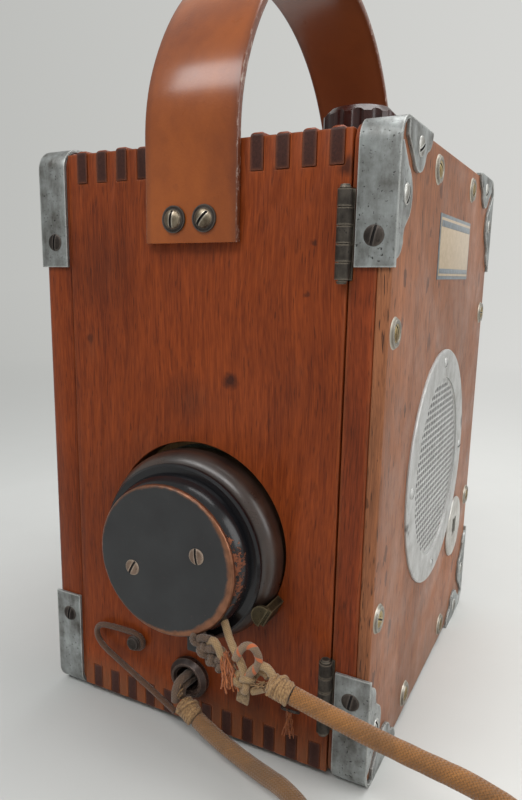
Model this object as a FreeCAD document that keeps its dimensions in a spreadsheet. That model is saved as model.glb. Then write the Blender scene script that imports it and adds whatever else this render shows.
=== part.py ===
import FreeCAD, Part

import math
import os

import Sketcher

# Line test telephone
#
# A finger-jointed hardwood case with a hinged front, a leather strap handle, a watch-case
# receiver in a round hole of its left side and a perforated grille for speaking at its front.
# Millimetres, +Z up. The front faces -Y and the receiver faces -X. The origin is the middle of
# the object's footprint, on the surface that it stands on.

Vector = FreeCAD.Vector
Rotation = FreeCAD.Rotation

OUT_LEFT = Rotation(Vector(0, 1, 0), -90)
OUT_RIGHT = Rotation(Vector(0, 1, 0), 90)
OUT_FRONT = Rotation(Vector(1, 0, 0), 90)
OUT_BACK = Rotation(Vector(1, 0, 0), -90)
UPRIGHT = Rotation()

doc = FreeCAD.newDocument("line_test_telephone")
sheet = doc.addObject("Spreadsheet::Sheet", "Sizes")
places = doc.addObject("Spreadsheet::Sheet", "Places")
nodes = {}
pockets = []


class Dim:
    """A length that holds its number and the sheet expression that gives it."""

    def __init__(self, text, value):
        self.text = text
        self.value = float(value)

    def __add__(self, other):
        return joined(self, "+", other)

    def __radd__(self, other):
        return joined(other, "+", self)

    def __sub__(self, other):
        return joined(self, "-", other)

    def __rsub__(self, other):
        return joined(other, "-", self)

    def __mul__(self, other):
        return joined(self, "*", other)

    def __rmul__(self, other):
        return joined(other, "*", self)

    def __truediv__(self, other):
        return joined(self, "/", other)

    def __neg__(self):
        return joined(0, "-", self)


def dim(quantity):
    return quantity if isinstance(quantity, Dim) else Dim(str(quantity), quantity)


def joined(first, sign, second):
    first = dim(first)
    second = dim(second)
    values = {
        "+": first.value + second.value,
        "-": first.value - second.value,
        "*": first.value * second.value,
    }
    value = first.value / second.value if sign == "/" else values[sign]
    return Dim(f"({first.text} {sign} {second.text})", value)


def cosine(angle):
    return Dim(f"cos({angle.text})", math.cos(math.radians(angle.value)))


def sine(angle):
    return Dim(f"sin({angle.text})", math.sin(math.radians(angle.value)))


rows = {"Sizes": 0, "Places": 0}


def size(alias, value, note):
    """Write one driving dimension into the sheet."""
    rows["Sizes"] += 1
    row = rows["Sizes"]
    sheet.set(f"A{row}", note)
    sheet.set(f"B{row}", str(value))
    sheet.setAlias(f"B{row}", alias)
    return Dim(f"Sizes.{alias}", value)


def place(alias, quantity):
    """Write one worked-out position into the second sheet."""
    rows["Places"] += 1
    row = rows["Places"]
    places.set(f"A{row}", alias)
    places.set(f"B{row}", "=" + quantity.text)
    places.setAlias(f"B{row}", alias)
    return Dim(f"Places.{alias}", quantity.value)


# Driving dimensions: the case

case_width = size("case_width", 179.0, "case, left face to right face")
body_height = size("body_height", 230.5, "case boards, underside to top")
body_depth = size("body_depth", 117.3, "case boards, front edge to rear edge")
board = size("board", 11.0, "thickness of the four case boards")
back_panel = size("back_panel", 13.2, "thickness of the back panel")
panel_overhang = size("panel_overhang", 1.9, "front and back stand past the boards by this")
corner_round = size("corner_round", 7.0, "rounded corners of the front and the back")
finger_front = size("finger_front", 2.7, "first dark finger, from the front edge")
finger_rear = size("finger_rear", 5.1, "last dark finger, from the rear edge")
finger_count = size("finger_count", 12, "dark fingers at each corner")

# Driving dimensions: the door

door_gap = size("door_gap", 0.5, "seam between the case and the door")
rail_depth = size("rail_depth", 9.3, "door frame, front to back")
rail_width = size("rail_width", 13.0, "door frame, across a rail")
panel_thick = size("panel_thick", 4.8, "door panel")
grille_at = size("grille_at", 0.49162, "grille centre from the left face, share of the case width")
grille_z = size("grille_z", 101.5, "grille centre from the case underside")
grille_share = size("grille_share", 0.29218, "radius of the grille, share of the case width")
grille_border = size("grille_border", 13.7, "plain border of the grille")
grille_sheet = size("grille_sheet", 1.0, "grille thickness")
grille_holes = size("grille_holes", 1.35, "middle of a grille hole to its corners")
grille_rings = size("grille_rings", 7.6, "radius of the perforated field in hole pitches")
grille_screw_edge = size("grille_screw_edge", 5.8, "grille screws from the grille's edge")
panel_screw_edge = size("panel_screw_edge", 6.8, "panel screws from the door's edges")
panel_screw_x = size("panel_screw_x", 34.8, "panel screws at top and bottom, from the middle")
panel_screw_z = size("panel_screw_z", 51.0, "panel screws at the sides, from mid height")
cup_radius = size("cup_radius", 5.5, "cup washers of the panel screws")

# Driving dimensions: corner guards and hinges

guard_sheet = size("guard_sheet", 1.2, "corner guard sheet metal")
guard_width = size("guard_width", 12.3, "guard strip, over the door's thickness")
guard_leg = size("guard_leg", 45.0, "guard strip, up the side")
guard_foot = size("guard_foot", 38.6, "guard strip, along the top or bottom")
guard_screw = size("guard_screw", 3.4, "radius of a guard screw head")
screw_rise = size("screw_rise", 1.0, "guard screw heads stand out by this")
hinge_length = size("hinge_length", 28.5, "butt hinge")
hinge_inset = size("hinge_inset", 33.0, "hinge centre from the ends of the case")
hinge_leaf = size("hinge_leaf", 1.1, "leaf thickness")
hinge_span = size("hinge_span", 9.0, "leaf, over the edge of the board")
barrel_radius = size("barrel_radius", 2.4, "hinge barrel")
barrel_out = size("barrel_out", 2.5, "hinge pin from the left face")
barrel_back = size("barrel_back", 1.0, "hinge pin behind the seam")
pin_radius = size("pin_radius", 1.2, "hinge pin")
pin_play = size("pin_play", 0.05, "radial play of the pin in its knuckles")
knuckle_gap = size("knuckle_gap", 0.3, "gap between knuckles")

# Driving dimensions: strap handle

strap_width = size("strap_width", 38.4, "leather strap, across")
strap_thick = size("strap_thick", 3.2, "leather strap, thickness")
strap_drop = size("strap_drop", 34.6, "strap end below the top of the case")
strap_spring = size("strap_spring", 1.5, "the strap leaves the side this far above the top")
strap_shoulder = size("strap_shoulder", 60.0, "radius where the strap turns inward")
strap_turn = size("strap_turn", 24.0, "degrees that the shoulder turns before the main arch")
strap_screw_drop = size("strap_screw_drop", 26.3, "strap screws below the top of the case")
strap_screw_pitch = size("strap_screw_pitch", 12.8, "between the two strap screws")
strap_washer = size("strap_washer", 0.8, "washer thickness")
strap_head = size("strap_head", 2.0, "round screw head, height")
strap_head_radius = size("strap_head_radius", 3.5, "round screw head, radius")

# Driving dimensions: receiver

receiver_y = size("receiver_y", 57.7, "receiver hole behind the front edge")
receiver_z = size("receiver_z", 82.7, "receiver hole above the case underside")
receiver_hole = size("receiver_hole", 38.7, "radius of the hole in the left board")
cap_radius = size("cap_radius", 36.8, "ear cap")
cap_out = size("cap_out", 10.4, "ear cap, outside the board")
cap_in = size("cap_in", 9.0, "ear cap, inside the hole")
shell_skirt = size("shell_skirt", 31.3, "shell skirt inside the ear cap")
shell_neck = size("shell_neck", 28.4, "shell radius under the back cap")
shell_wall = size("shell_wall", 1.5, "shell wall")
shell_out = size("shell_out", 20.6, "shell end from the case side")
back_cap_radius = size("back_cap_radius", 29.2, "back cap")
back_cap_thick = size("back_cap_thick", 2.4, "back cap thickness")
back_screw_circle = size("back_screw_circle", 15.1, "back cap screws from the middle")
back_screw_turn = size("back_screw_turn", -20.0, "degrees, line of the back cap screws")
back_screw_rise = size("back_screw_rise", 0.8, "back cap screw heads")
seat_radius = size("seat_radius", 46.0, "receiver seat inside the left board")
seat_thick = size("seat_thick", 5.0, "receiver seat")
soft_gap = size("soft_gap", 0.3, "clearance between bodies at rest")

# Driving dimensions: cord fittings

ferrule_y = size("ferrule_y", 60.2, "cord ferrule behind the front edge")
ferrule_z = size("ferrule_z", 21.5, "cord ferrule above the case underside")
ferrule_radius = size("ferrule_radius", 8.7, "ferrule flange")
ferrule_tube = size("ferrule_tube", 6.5, "ferrule tube through the board")
ferrule_bore = size("ferrule_bore", 5.2, "ferrule bore")
ferrule_rise = size("ferrule_rise", 4.0, "ferrule flange height")
stay_screw_y = size("stay_screw_y", 86.6, "stay screw behind the front edge")
stay_screw_z = size("stay_screw_z", 30.6, "stay screw above the case underside")
cord_radius = size("cord_radius", 3.35, "braided receiver cord")

# Driving dimensions: knob and switch

knob_y = size("knob_y", 28.6, "knob behind the front edge")
knob_radius = size("knob_radius", 15.7, "fluted knob")
knob_height = size("knob_height", 21.0, "fluted knob, height")
knob_lift = size("knob_lift", 3.9, "knob above the top board")
knob_flutes = size("knob_flutes", 12, "flutes around the knob")
shaft_radius = size("shaft_radius", 3.175, "switch shaft")
shaft_play = size("shaft_play", 0.05, "radial play of the shaft")
bushing_radius = size("bushing_radius", 4.8, "switch bushing through the top board")
switch_radius = size("switch_radius", 18.0, "rotary switch deck")
switch_depth = size("switch_depth", 16.0, "rotary switch below the top board")

# Driving dimensions: lock

lock_at = size("lock_at", 0.77933, "lock centre from the left face, share of the case width")
lock_z = size("lock_z", 56.3, "lock centre from the case underside")
lock_plate = size("lock_plate", 15.8, "radius of the lock escutcheon")
lock_sheet = size("lock_sheet", 1.2, "escutcheon thickness")
lock_square = size("lock_square", 9.4, "square hole of the escutcheon")
plug_radius = size("plug_radius", 7.5, "lock plug")
plug_play = size("plug_play", 0.05, "radial play of the lock plug")
key_square = size("key_square", 7.0, "square socket in the plug")
key_depth = size("key_depth", 9.0, "depth of the square socket")
cam_clear = size("cam_clear", 3.0, "turned lock cam to the right board")
cam_thick = size("cam_thick", 3.0, "lock cam")
cam_half = size("cam_half", 5.0, "half the width of the lock cam")
strike_length = size("strike_length", 20.0, "lock strike, up the board")
strike_reach = size("strike_reach", 10.0, "lip of the lock strike")
strike_depth = size("strike_depth", 14.0, "lock strike, along the board")

# Driving dimensions: inside

cell_radius = size("cell_radius", 32.0, "dry cell")
cell_height = size("cell_height", 146.0, "dry cell")
chassis_thick = size("chassis_thick", 4.0, "chassis board")
chassis_height = size("chassis_height", 158.0, "chassis board")
coil_radius = size("coil_radius", 12.0, "induction coil")
coil_length = size("coil_length", 66.0, "induction coil")
coil_inset = size("coil_inset", 60.0, "induction coil from the left face")
coil_drop = size("coil_drop", 19.0, "induction coil below the chassis board's top")
condenser_width = size("condenser_width", 44.0, "condenser can")
condenser_depth = size("condenser_depth", 24.0, "condenser can")
condenser_height = size("condenser_height", 52.0, "condenser can")
condenser_clear = size("condenser_clear", 14.0, "condenser to the right board")
condenser_rise = size("condenser_rise", 19.0, "condenser above the chassis board's foot")
strip_length = size("strip_length", 66.0, "terminal strip")
strip_height = size("strip_height", 15.0, "terminal strip")
strip_depth = size("strip_depth", 9.0, "terminal strip")
strip_inset = size("strip_inset", 30.0, "terminal strip from the left face")
strip_rise = size("strip_rise", 99.0, "terminal strip above the chassis board's foot")
post_pitch = size("post_pitch", 11.0, "between the posts of the terminal strip")
transmitter_lap = size("transmitter_lap", 2.4, "transmitter shell past the sound hole")
transmitter_depth = size("transmitter_depth", 22.0, "transmitter shell")
transmitter_wall = size("transmitter_wall", 1.6, "transmitter shell wall")
wire_radius = size("wire_radius", 0.9, "inside wires")

# Positions worked out from the sizes

door_thick = place("door_thick", door_gap + rail_depth + panel_thick)
receiver_reach = place("receiver_reach", shell_out + back_cap_thick + back_screw_rise)
strap_reach = place("strap_reach", strap_thick + strap_washer + strap_head)
left = place("left", (receiver_reach - strap_reach) / 2 - case_width / 2)
right = place("right", left + case_width)
middle_x = place("middle_x", left + case_width / 2)
seam = place("seam", -(body_depth + back_panel - door_thick) / 2)
rear = place("rear", seam + body_depth)
back_face = place("back_face", rear + back_panel)
front = place("front", seam - door_thick)
base = place("base", guard_sheet + panel_overhang)
crown = place("crown", base + body_height)
door_bottom = place("door_bottom", base - panel_overhang)
door_height = place("door_height", body_height + 2 * panel_overhang)
finger_pitch = place("finger_pitch", (body_depth - finger_front - finger_rear) / (finger_count - 0.5))
finger_width = place("finger_width", finger_pitch / 2)
inner_left = place("inner_left", left + board)
inner_right = place("inner_right", right - board)
inner_base = place("inner_base", base + board)
hinge_x = place("hinge_x", left - barrel_out)
hinge_y = place("hinge_y", seam + barrel_back)
receiver_at_y = place("receiver_at_y", seam + receiver_y)
receiver_drop = place("receiver_drop", receiver_hole - cap_radius - soft_gap)
receiver_at_z = place("receiver_at_z", base + receiver_z - receiver_drop)
knob_at_y = place("knob_at_y", seam + knob_y)
grille_x = place("grille_x", case_width * grille_at)
grille_radius = place("grille_radius", case_width * grille_share)
grille_screw_circle = place("grille_screw_circle", grille_radius - grille_screw_edge)
sound_hole = place("sound_hole", grille_radius - grille_border)
transmitter_radius = place("transmitter_radius", sound_hole + transmitter_lap)
lock_x = place("lock_x", case_width * lock_at)
lock_at_x = place("lock_at_x", left + lock_x)
cam_reach = place("cam_reach", inner_right - cam_clear - lock_at_x)
lock_at_z = place("lock_at_z", base + lock_z)
grille_at_x = place("grille_at_x", left + grille_x)
grille_at_z = place("grille_at_z", base + grille_z)
panel_back = place("panel_back", front + panel_thick)
seat_face = place("seat_face", inner_left + seat_thick)
cell_front = place("cell_front", rear - 2 * cell_radius - soft_gap)
chassis_front = place("chassis_front", cell_front - chassis_thick)
doc.recompute()


# Helpers for features


def bind(target, name, quantity):
    """Tie one property to the sheet, or set it where it is a plain number."""
    if isinstance(quantity, Dim):
        target.setExpression(name, quantity.text)
    else:
        setattr(target, name, quantity)


def put(target, x, y, z, turn=UPRIGHT):
    """Place an object at a bound position with a fixed rotation."""
    spot = [dim(x), dim(y), dim(z)]
    target.Placement = FreeCAD.Placement(Vector(*[d.value for d in spot]), turn)
    for axis, given in zip("xyz", (x, y, z)):
        if isinstance(given, Dim):
            target.setExpression(f"Placement.Base.{axis}", given.text)
    return target


def node(name, target):
    """Name a finished sub-part: its label is its file's name."""
    target.Label = name
    nodes[name] = target
    return target


def new_body(name):
    return doc.addObject("PartDesign::Body", name)


def sketch(body, role, name, lift=None):
    """A sketch on one of the body's origin planes, raised off it where lift is given."""
    drawing = body.newObject("Sketcher::SketchObject", name)
    plane = [f for f in body.Origin.OriginFeatures if f.Role == role][0]
    drawing.AttachmentSupport = (plane, [""])
    drawing.MapMode = "FlatFace"
    if lift is not None:
        drawing.setExpression("AttachmentOffset.Base.z", dim(lift).text)
    return drawing


def fix_point(drawing, geometry, position, u, v):
    for kind, quantity in (("DistanceX", dim(u)), ("DistanceY", dim(v))):
        index = drawing.addConstraint(
            Sketcher.Constraint(kind, -1, 1, geometry, position, quantity.value)
        )
        drawing.setExpression(f"Constraints[{index}]", quantity.text)


def outline(drawing, points, arcs=None):
    """A closed outline. arcs gives, for a point, the radius of the arc that leaves it:
    positive turns left and negative turns right."""
    arcs = arcs or {}
    start = drawing.GeometryCount
    count = len(points)
    ends = []
    for i in range(count):
        a = Vector(dim(points[i][0]).value, dim(points[i][1]).value, 0)
        b = Vector(dim(points[(i + 1) % count][0]).value, dim(points[(i + 1) % count][1]).value, 0)
        if i in arcs:
            radius = dim(arcs[i])
            side = 1 if radius.value > 0 else -1
            half = (b - a).Length / 2
            rise = math.sqrt(max(radius.value**2 - half**2, 0))
            leftward = Vector(a.y - b.y, b.x - a.x, 0).normalize()
            centre = (a + b) / 2 + leftward * side * rise
            first, last = (a, b) if side > 0 else (b, a)
            angles = [math.atan2(p.y - centre.y, p.x - centre.x) for p in (first, last)]
            circle = Part.Circle(centre, Vector(0, 0, 1), abs(radius.value))
            drawing.addGeometry(Part.ArcOfCircle(circle, angles[0], angles[1]), False)
            ends.append((1, 2) if side > 0 else (2, 1))
        else:
            drawing.addGeometry(Part.LineSegment(a, b), False)
            ends.append((1, 2))
    for i in range(count):
        follower = (i + 1) % count
        drawing.addConstraint(
            Sketcher.Constraint(
                "Coincident", start + i, ends[i][1], start + follower, ends[follower][0]
            )
        )
    for i in range(count):
        fix_point(drawing, start + i, ends[i][0], *points[i])
    for i, radius in arcs.items():
        value = abs(dim(radius).value)
        index = drawing.addConstraint(Sketcher.Constraint("Radius", start + i, value))
        drawing.setExpression(f"Constraints[{index}]", f"abs({dim(radius).text})")
    return drawing


def circle(drawing, u, v, radius):
    shape = Part.Circle(Vector(dim(u).value, dim(v).value, 0), Vector(0, 0, 1), dim(radius).value)
    index = drawing.addGeometry(shape, False)
    fix_point(drawing, index, 3, u, v)
    index = drawing.addConstraint(Sketcher.Constraint("Radius", index, dim(radius).value))
    drawing.setExpression(f"Constraints[{index}]", dim(radius).text)
    return drawing


def rectangle(u, v, width, height):
    return [(u, v), (u + width, v), (u + width, v + height), (u, v + height)]


def rounded(width, height, radius):
    """Points and arcs of a rectangle with its four corners rounded."""
    points = [
        (radius, 0), (width - radius, 0), (width, radius), (width, height - radius),
        (width - radius, height), (radius, height), (0, height - radius), (0, radius),
    ]
    return points, {1: radius, 3: radius, 5: radius, 7: radius}


def pad(body, drawing, length, back=False):
    feature = body.newObject("PartDesign::Pad", drawing.Name + "_pad")
    feature.Profile = drawing
    feature.Reversed = back
    bind(feature, "Length", length)
    return feature


def pocket(body, drawing, length):
    """Cut a drawing into a body along its plane's normal."""
    before = body.Tip
    feature = body.newObject("PartDesign::Pocket", drawing.Name + "_pocket")
    feature.Profile = drawing
    feature.Reversed = True
    bind(feature, "Length", length)
    pockets.append((before, feature))
    return feature


def linear(body, feature, drawing, axis, length, count):
    pattern = body.newObject("PartDesign::LinearPattern", feature.Name + "_row")
    pattern.Originals = [feature]
    pattern.Direction = (drawing, [axis])
    bind(pattern, "Length", length)
    bind(pattern, "Occurrences", count)
    body.Tip = pattern
    return pattern


def turned(name, points, arcs=None):
    """A turned body: the outline's first coordinate is the radius, the second the height."""
    body = new_body(name)
    drawing = sketch(body, "XZ_Plane", name + "_profile")
    outline(drawing, points, arcs)
    feature = body.newObject("PartDesign::Revolution", name + "_turn")
    feature.Profile = drawing
    feature.ReferenceAxis = (drawing, ["V_Axis"])
    feature.Angle = 360
    return body


def block(name, x, y, z, length, width, height):
    box = doc.addObject("Part::Box", name)
    for prop, quantity in (("Length", length), ("Width", width), ("Height", height)):
        bind(box, prop, quantity)
    return put(box, x, y, z)


def rod(name, x, y, z, radius, height, turn=UPRIGHT):
    cylinder = doc.addObject("Part::Cylinder", name)
    bind(cylinder, "Radius", radius)
    bind(cylinder, "Height", height)
    return put(cylinder, x, y, z, turn)


def fused(name, shapes):
    union = doc.addObject("Part::MultiFuse", name)
    union.Shapes = shapes
    return union


def cut(name, shape, tool):
    difference = doc.addObject("Part::Cut", name)
    difference.Base = shape
    difference.Tool = tool
    return difference


def group(name, members):
    compound = doc.addObject("Part::Compound", name)
    compound.Links = members
    return compound


def copies(name, master, spots):
    """One node of identical pieces: the master, repeated at each spot (x, y, z, turn)."""
    members = []
    for i, (x, y, z, turn) in enumerate(spots):
        link = doc.addObject("App::Link", f"{name}_{i}")
        link.LinkedObject = master
        members.append(put(link, x, y, z, turn))
    return group(name, members)


def mirrored(name, source, normal, at):
    mirror = doc.addObject("Part::Mirroring", name)
    mirror.Source = source
    mirror.Normal = normal
    axis = "xyz"[[abs(c) > 0.5 for c in normal].index(True)]
    mirror.setExpression(f"Base.{axis}", at.text)
    return mirror


def screw_head(name, radius, rise, slot=0, slot_depth=0.5):
    """A head that narrows towards its top, standing on the XY plane, slotted where slot is given."""
    body = turned(name, [(0, 0), (radius, 0), (radius * 0.82, rise), (0, rise)])
    if slot:
        groove = sketch(body, "XY_Plane", name + "_slot", rise - slot_depth)
        outline(groove, rectangle(-radius, -slot / 2, 2 * radius, slot))
        pocket(body, groove, slot_depth + 1)
    return body


def washer(name, inner, outer, rise):
    return turned(name, [(inner, 0), (outer, 0), (outer, rise), (inner, rise)])


# Helpers for cords and wires


def point(x, y, z):
    return Vector(dim(x).value, dim(y).value, dim(z).value)


def bent_path(corners, share=0.45, report=None):
    """Straight runs joined by tangent arcs, each as large as its two runs allow."""
    edges = []
    begin = corners[0]
    radii = []
    for before, corner, after in zip(corners, corners[1:], corners[2:]):
        into = (corner - before).normalize()
        away = (after - corner).normalize()
        half_turn = into.getAngle(away) / 2
        trim = share * min((corner - before).Length, (after - corner).Length)
        radii.append(trim / math.tan(half_turn))
        arc_start = corner - into * trim
        arc_end = corner + away * trim
        inward = (away - into).normalize()
        depth = radii[-1] / math.cos(half_turn) - radii[-1]
        edges.append(Part.LineSegment(begin, arc_start).toShape())
        edges.append(Part.Arc(arc_start, corner + inward * depth, arc_end).toShape())
        begin = arc_end
    edges.append(Part.LineSegment(begin, corners[-1]).toShape())
    if report:
        print(report, "arc radii", " ".join(f"{r:.1f}" for r in radii))
    return Part.Wire(edges)


def tube(path, radius, sides=8):
    """A faceted tube along a wire, with the section's corners on the circle."""
    start = path.Edges[0]
    along = start.tangentAt(start.FirstParameter)
    across = along.cross(Vector(0.31, 0.52, 0.79)).normalize()
    up = along.cross(across)
    origin = start.valueAt(start.FirstParameter)
    angles = [2 * math.pi * (i + 0.5) / sides for i in range(sides)]
    ring = [origin + (across * math.cos(a) + up * math.sin(a)) * radius for a in angles]
    section = Part.makePolygon(ring + ring[:1])
    solid = path.makePipeShell([section], True, False)
    area = sides / 2 * radius**2 * math.sin(2 * math.pi / sides)
    return solid, solid.Volume / (area * path.Length)


def wires(name, routes, radius, sides=8, share=0.45):
    """One node of tubes, each along its own list of corners."""
    solids = []
    for i, corners in enumerate(routes):
        path = bent_path([point(*c) for c in corners], share, f"{name} {i}")
        solid, fit = tube(path, dim(radius).value, sides)
        print(f"{name} {i} length {path.Length:.1f}, volume over section times length {fit:.4f}")
        solids.append(solid)
    feature = doc.addObject("Part::Feature", name)
    feature.Shape = solids[0] if len(solids) == 1 else Part.makeCompound(solids)
    feature.Placement = FreeCAD.Placement()
    return node(name, feature)


# Case boards


def side_board(name, x, holes):
    """A side board with the notches that take the top and bottom boards' fingers."""
    body = new_body(name)
    face = outline(sketch(body, "YZ_Plane", name + "_face"), rectangle(0, 0, body_depth, body_height))
    pad(body, face, board)
    notch = sketch(body, "YZ_Plane", name + "_notch")
    outline(notch, rectangle(finger_front, 0, finger_width, board))
    outline(notch, rectangle(finger_front, body_height - board, finger_width, board))
    slots = pocket(body, notch, board)
    linear(body, slots, notch, "H_Axis", (finger_count - 1) * finger_pitch, finger_count)
    if holes:
        drill = sketch(body, "YZ_Plane", name + "_holes")
        for y, z, radius in holes:
            circle(drill, y, z, radius)
        pocket(body, drill, board)
    return put(body, x, seam, base)


def cross_board(name, z, hole=None):
    """The top or bottom board, with a row of fingers at each end."""
    body = new_body(name)
    face = sketch(body, "XY_Plane", name + "_face")
    outline(face, rectangle(board, 0, case_width - 2 * board, body_depth))
    pad(body, face, board)
    finger = sketch(body, "XY_Plane", name + "_finger")
    outline(finger, rectangle(0, finger_front, case_width, finger_width))
    bar = pad(body, finger, board)
    linear(body, bar, finger, "V_Axis", (finger_count - 1) * finger_pitch, finger_count)
    if hole:
        drill = circle(sketch(body, "XY_Plane", name + "_hole"), *hole)
        pocket(body, drill, board)
    return put(body, left, seam, z)


leaf_slot_low = hinge_inset - hinge_length / 2
leaf_slot_high = body_height - hinge_inset - hinge_length / 2
left_holes = [
    (receiver_y, receiver_z, receiver_hole),
    (ferrule_y, ferrule_z, ferrule_tube),
]
left_blank = side_board("left_blank", left, left_holes)
left_mortises = [
    block(f"left_mortise_{i}", left, seam, base + z, hinge_span, hinge_leaf, hinge_length)
    for i, z in enumerate((leaf_slot_low, leaf_slot_high))
]
node("side_board_left", cut("side_board_left", left_blank, fused("left_mortises", left_mortises)))
node("side_board_right", side_board("side_board_right", inner_right, []))
node("bottom_board", cross_board("bottom_board", base))
node("top_board", cross_board("top_board", crown - board, (case_width / 2, knob_y, bushing_radius + 0.15)))

back = new_body("back_panel")
back_points, back_arcs = rounded(case_width, door_height, corner_round)
pad(back, outline(sketch(back, "XZ_Plane", "back_face"), back_points, back_arcs), back_panel)
node("back_panel", put(back, left, back_face, door_bottom))

# Corner guards: one stamping, folded over the edges, used on the door and on the back


def corner_guard():
    """The guard of the lower left front corner, its origin on the corner's three planes."""
    body = new_body("corner_guard")
    strip = sketch(body, "XZ_Plane", "guard_strip")
    outer = corner_round + guard_sheet
    outline(
        strip,
        [
            (-guard_sheet, guard_leg), (-guard_sheet, corner_round), (corner_round, -guard_sheet),
            (guard_foot, -guard_sheet), (guard_foot, 0), (corner_round, 0),
            (0, corner_round), (0, guard_leg),
        ],
        {1: outer, 5: -corner_round},
    )
    pad(body, strip, guard_width + guard_sheet, back=True)
    lobes = sketch(body, "XZ_Plane", "guard_lobes")
    outline(
        lobes,
        [
            (-guard_sheet, corner_round), (1.5, corner_round), (8.5, 13.5), (12.5, 28.5),
            (7.2, 32.5), (6.4, 37.0), (-guard_sheet, 42.5),
        ],
        {2: 9.5, 4: -6.0, 5: 8.5},
    )
    outline(
        lobes,
        [
            (corner_round, -guard_sheet), (guard_foot, -guard_sheet), (33.2, 5.8), (29.2, 9.4),
            (15.5, 10.6), (corner_round, 4.6),
        ],
        {1: 8.0, 2: -5.0, 3: 8.0},
    )
    pad(body, lobes, guard_sheet, back=True)
    return body


guard = corner_guard()
guard_master = put(guard, left, front - guard_sheet, door_bottom)
mid_height = door_bottom + door_height / 2
mid_depth = (front + back_face) / 2
UP = Vector(0, 0, 1)
ACROSS = Vector(1, 0, 0)
THROUGH = Vector(0, 1, 0)


def four_guards(name, lower_left):
    upper_left = mirrored(name + "_upper_left", lower_left, UP, mid_height)
    lower_right = mirrored(name + "_lower_right", lower_left, ACROSS, middle_x)
    upper_right = mirrored(name + "_upper_right", upper_left, ACROSS, middle_x)
    return node(name, group(name, [lower_left, upper_left, lower_right, upper_right]))


four_guards("door_corner_guards", guard_master)
four_guards("back_corner_guards", mirrored("back_guard", guard_master, THROUGH, mid_depth))

guard_head = screw_head("guard_head", guard_screw, screw_rise)


def guard_screws(name, face, depth, outward):
    """The screws of four guards: two on the flat face and one on the side of each."""
    sheet_face = face - guard_sheet if outward is OUT_FRONT else face + guard_sheet
    spots = []
    for side, edge, turn in ((1, left, OUT_LEFT), (-1, right, OUT_RIGHT)):
        for up, end in ((1, door_bottom), (-1, door_bottom + door_height)):
            spots.append((edge + side * 7.7, sheet_face, end + up * 22.2, outward))
            spots.append((edge + side * 22.3, sheet_face, end + up * 5.7, outward))
            spots.append((edge - side * guard_sheet, depth, end + up * 35.2, turn))
    return node(name, copies(name, guard_head, spots))


guard_screws("door_guard_screws", front, front + guard_width / 2, OUT_FRONT)
guard_screws("back_guard_screws", back_face, back_face - guard_width / 2, OUT_BACK)

# Leather strap handle, a band bent over the top in one plane


def strap():
    body = new_body("handle_strap")
    drawing = sketch(body, "XZ_Plane", "strap_band")
    half = case_width / 2
    lean = cosine(strap_turn)
    rise = sine(strap_turn)
    spring = body_height + strap_spring
    arch = place("strap_arch", (half - strap_shoulder * (1 - lean)) / lean)
    shoulder_x = place("strap_shoulder_x", arch * lean)
    shoulder_z = place("strap_shoulder_z", spring + strap_shoulder * rise)
    outer_x = place("strap_outer_x", (arch + strap_thick) * lean)
    outer_z = place("strap_outer_z", spring + (strap_shoulder + strap_thick) * rise)
    foot = body_height - strap_drop
    outer = half + strap_thick
    outline(
        drawing,
        [
            (-half, foot), (-half, spring), (-shoulder_x, shoulder_z), (shoulder_x, shoulder_z),
            (half, spring), (half, foot), (outer, foot), (outer, spring), (outer_x, outer_z),
            (-outer_x, outer_z), (-outer, spring), (-outer, foot),
        ],
        {
            1: -strap_shoulder, 2: -arch, 3: -strap_shoulder,
            7: strap_shoulder + strap_thick, 8: arch + strap_thick, 9: strap_shoulder + strap_thick,
        },
    )
    pad(body, drawing, strap_width)
    return put(body, middle_x, seam + body_depth / 2 + strap_width / 2, base)


node("handle_strap", strap())
strap_spots = []
for x, turn, way in ((left - strap_thick, OUT_LEFT, -1), (right + strap_thick, OUT_RIGHT, 1)):
    for side in (-1, 1):
        y = seam + body_depth / 2 + side * strap_screw_pitch / 2
        strap_spots.append((x, y, crown - strap_screw_drop, turn))
washer_master = washer("strap_washer_master", strap_head_radius, strap_head_radius + 1.3, strap_washer)
node("strap_washers", copies("strap_washers", washer_master, strap_spots))
round_head = turned(
    "round_head",
    [(0, 0), (strap_head_radius, 0), (strap_head_radius, strap_washer + 0.4),
     (strap_head_radius * 0.4, strap_washer + strap_head), (0, strap_washer + strap_head)],
    {2: strap_head_radius},
)
slot = sketch(round_head, "XY_Plane", "round_slot", strap_washer + strap_head - 0.9)
outline(slot, rectangle(-strap_head_radius, -0.5, 2 * strap_head_radius, 1.0))
pocket(round_head, slot, 2.0)
node("strap_screws", copies("strap_screws", round_head, strap_spots))

# Butt hinges: leaves let into the door stile and the case board, knuckles on one pin


def hinge_leaf_set(name, knuckles, leaf_y, tab_y, tab_width):
    """One leaf with its knuckles, around the origin on the pin's axis at the hinge's foot."""
    step = hinge_length / 5
    plate = block(name + "_plate", barrel_out, leaf_y, 0, hinge_span, hinge_leaf, hinge_length)
    pieces = [plate]
    for k in knuckles:
        foot = step * k + knuckle_gap / 2
        height = step - knuckle_gap
        tab = block(f"{name}_tab_{k}", 0, tab_y, foot, barrel_out + 0.5, tab_width, height)
        pieces.append(tab)
        pieces.append(rod(f"{name}_knuckle_{k}", 0, 0, foot, barrel_radius, height))
    bore = rod(name + "_bore", 0, 0, 0, pin_radius + pin_play, hinge_length)
    holes = []
    for k in (0.25, 0.75):
        hole_x = barrel_out + hinge_span * 0.55
        holes.append(
            rod(f"{name}_hole_{k}", hole_x, leaf_y, hinge_length * k, 1.7, hinge_leaf, OUT_BACK)
        )
    return cut(name, fused(name + "_solid", pieces), fused(name + "_cuts", [bore] + holes))


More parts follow.
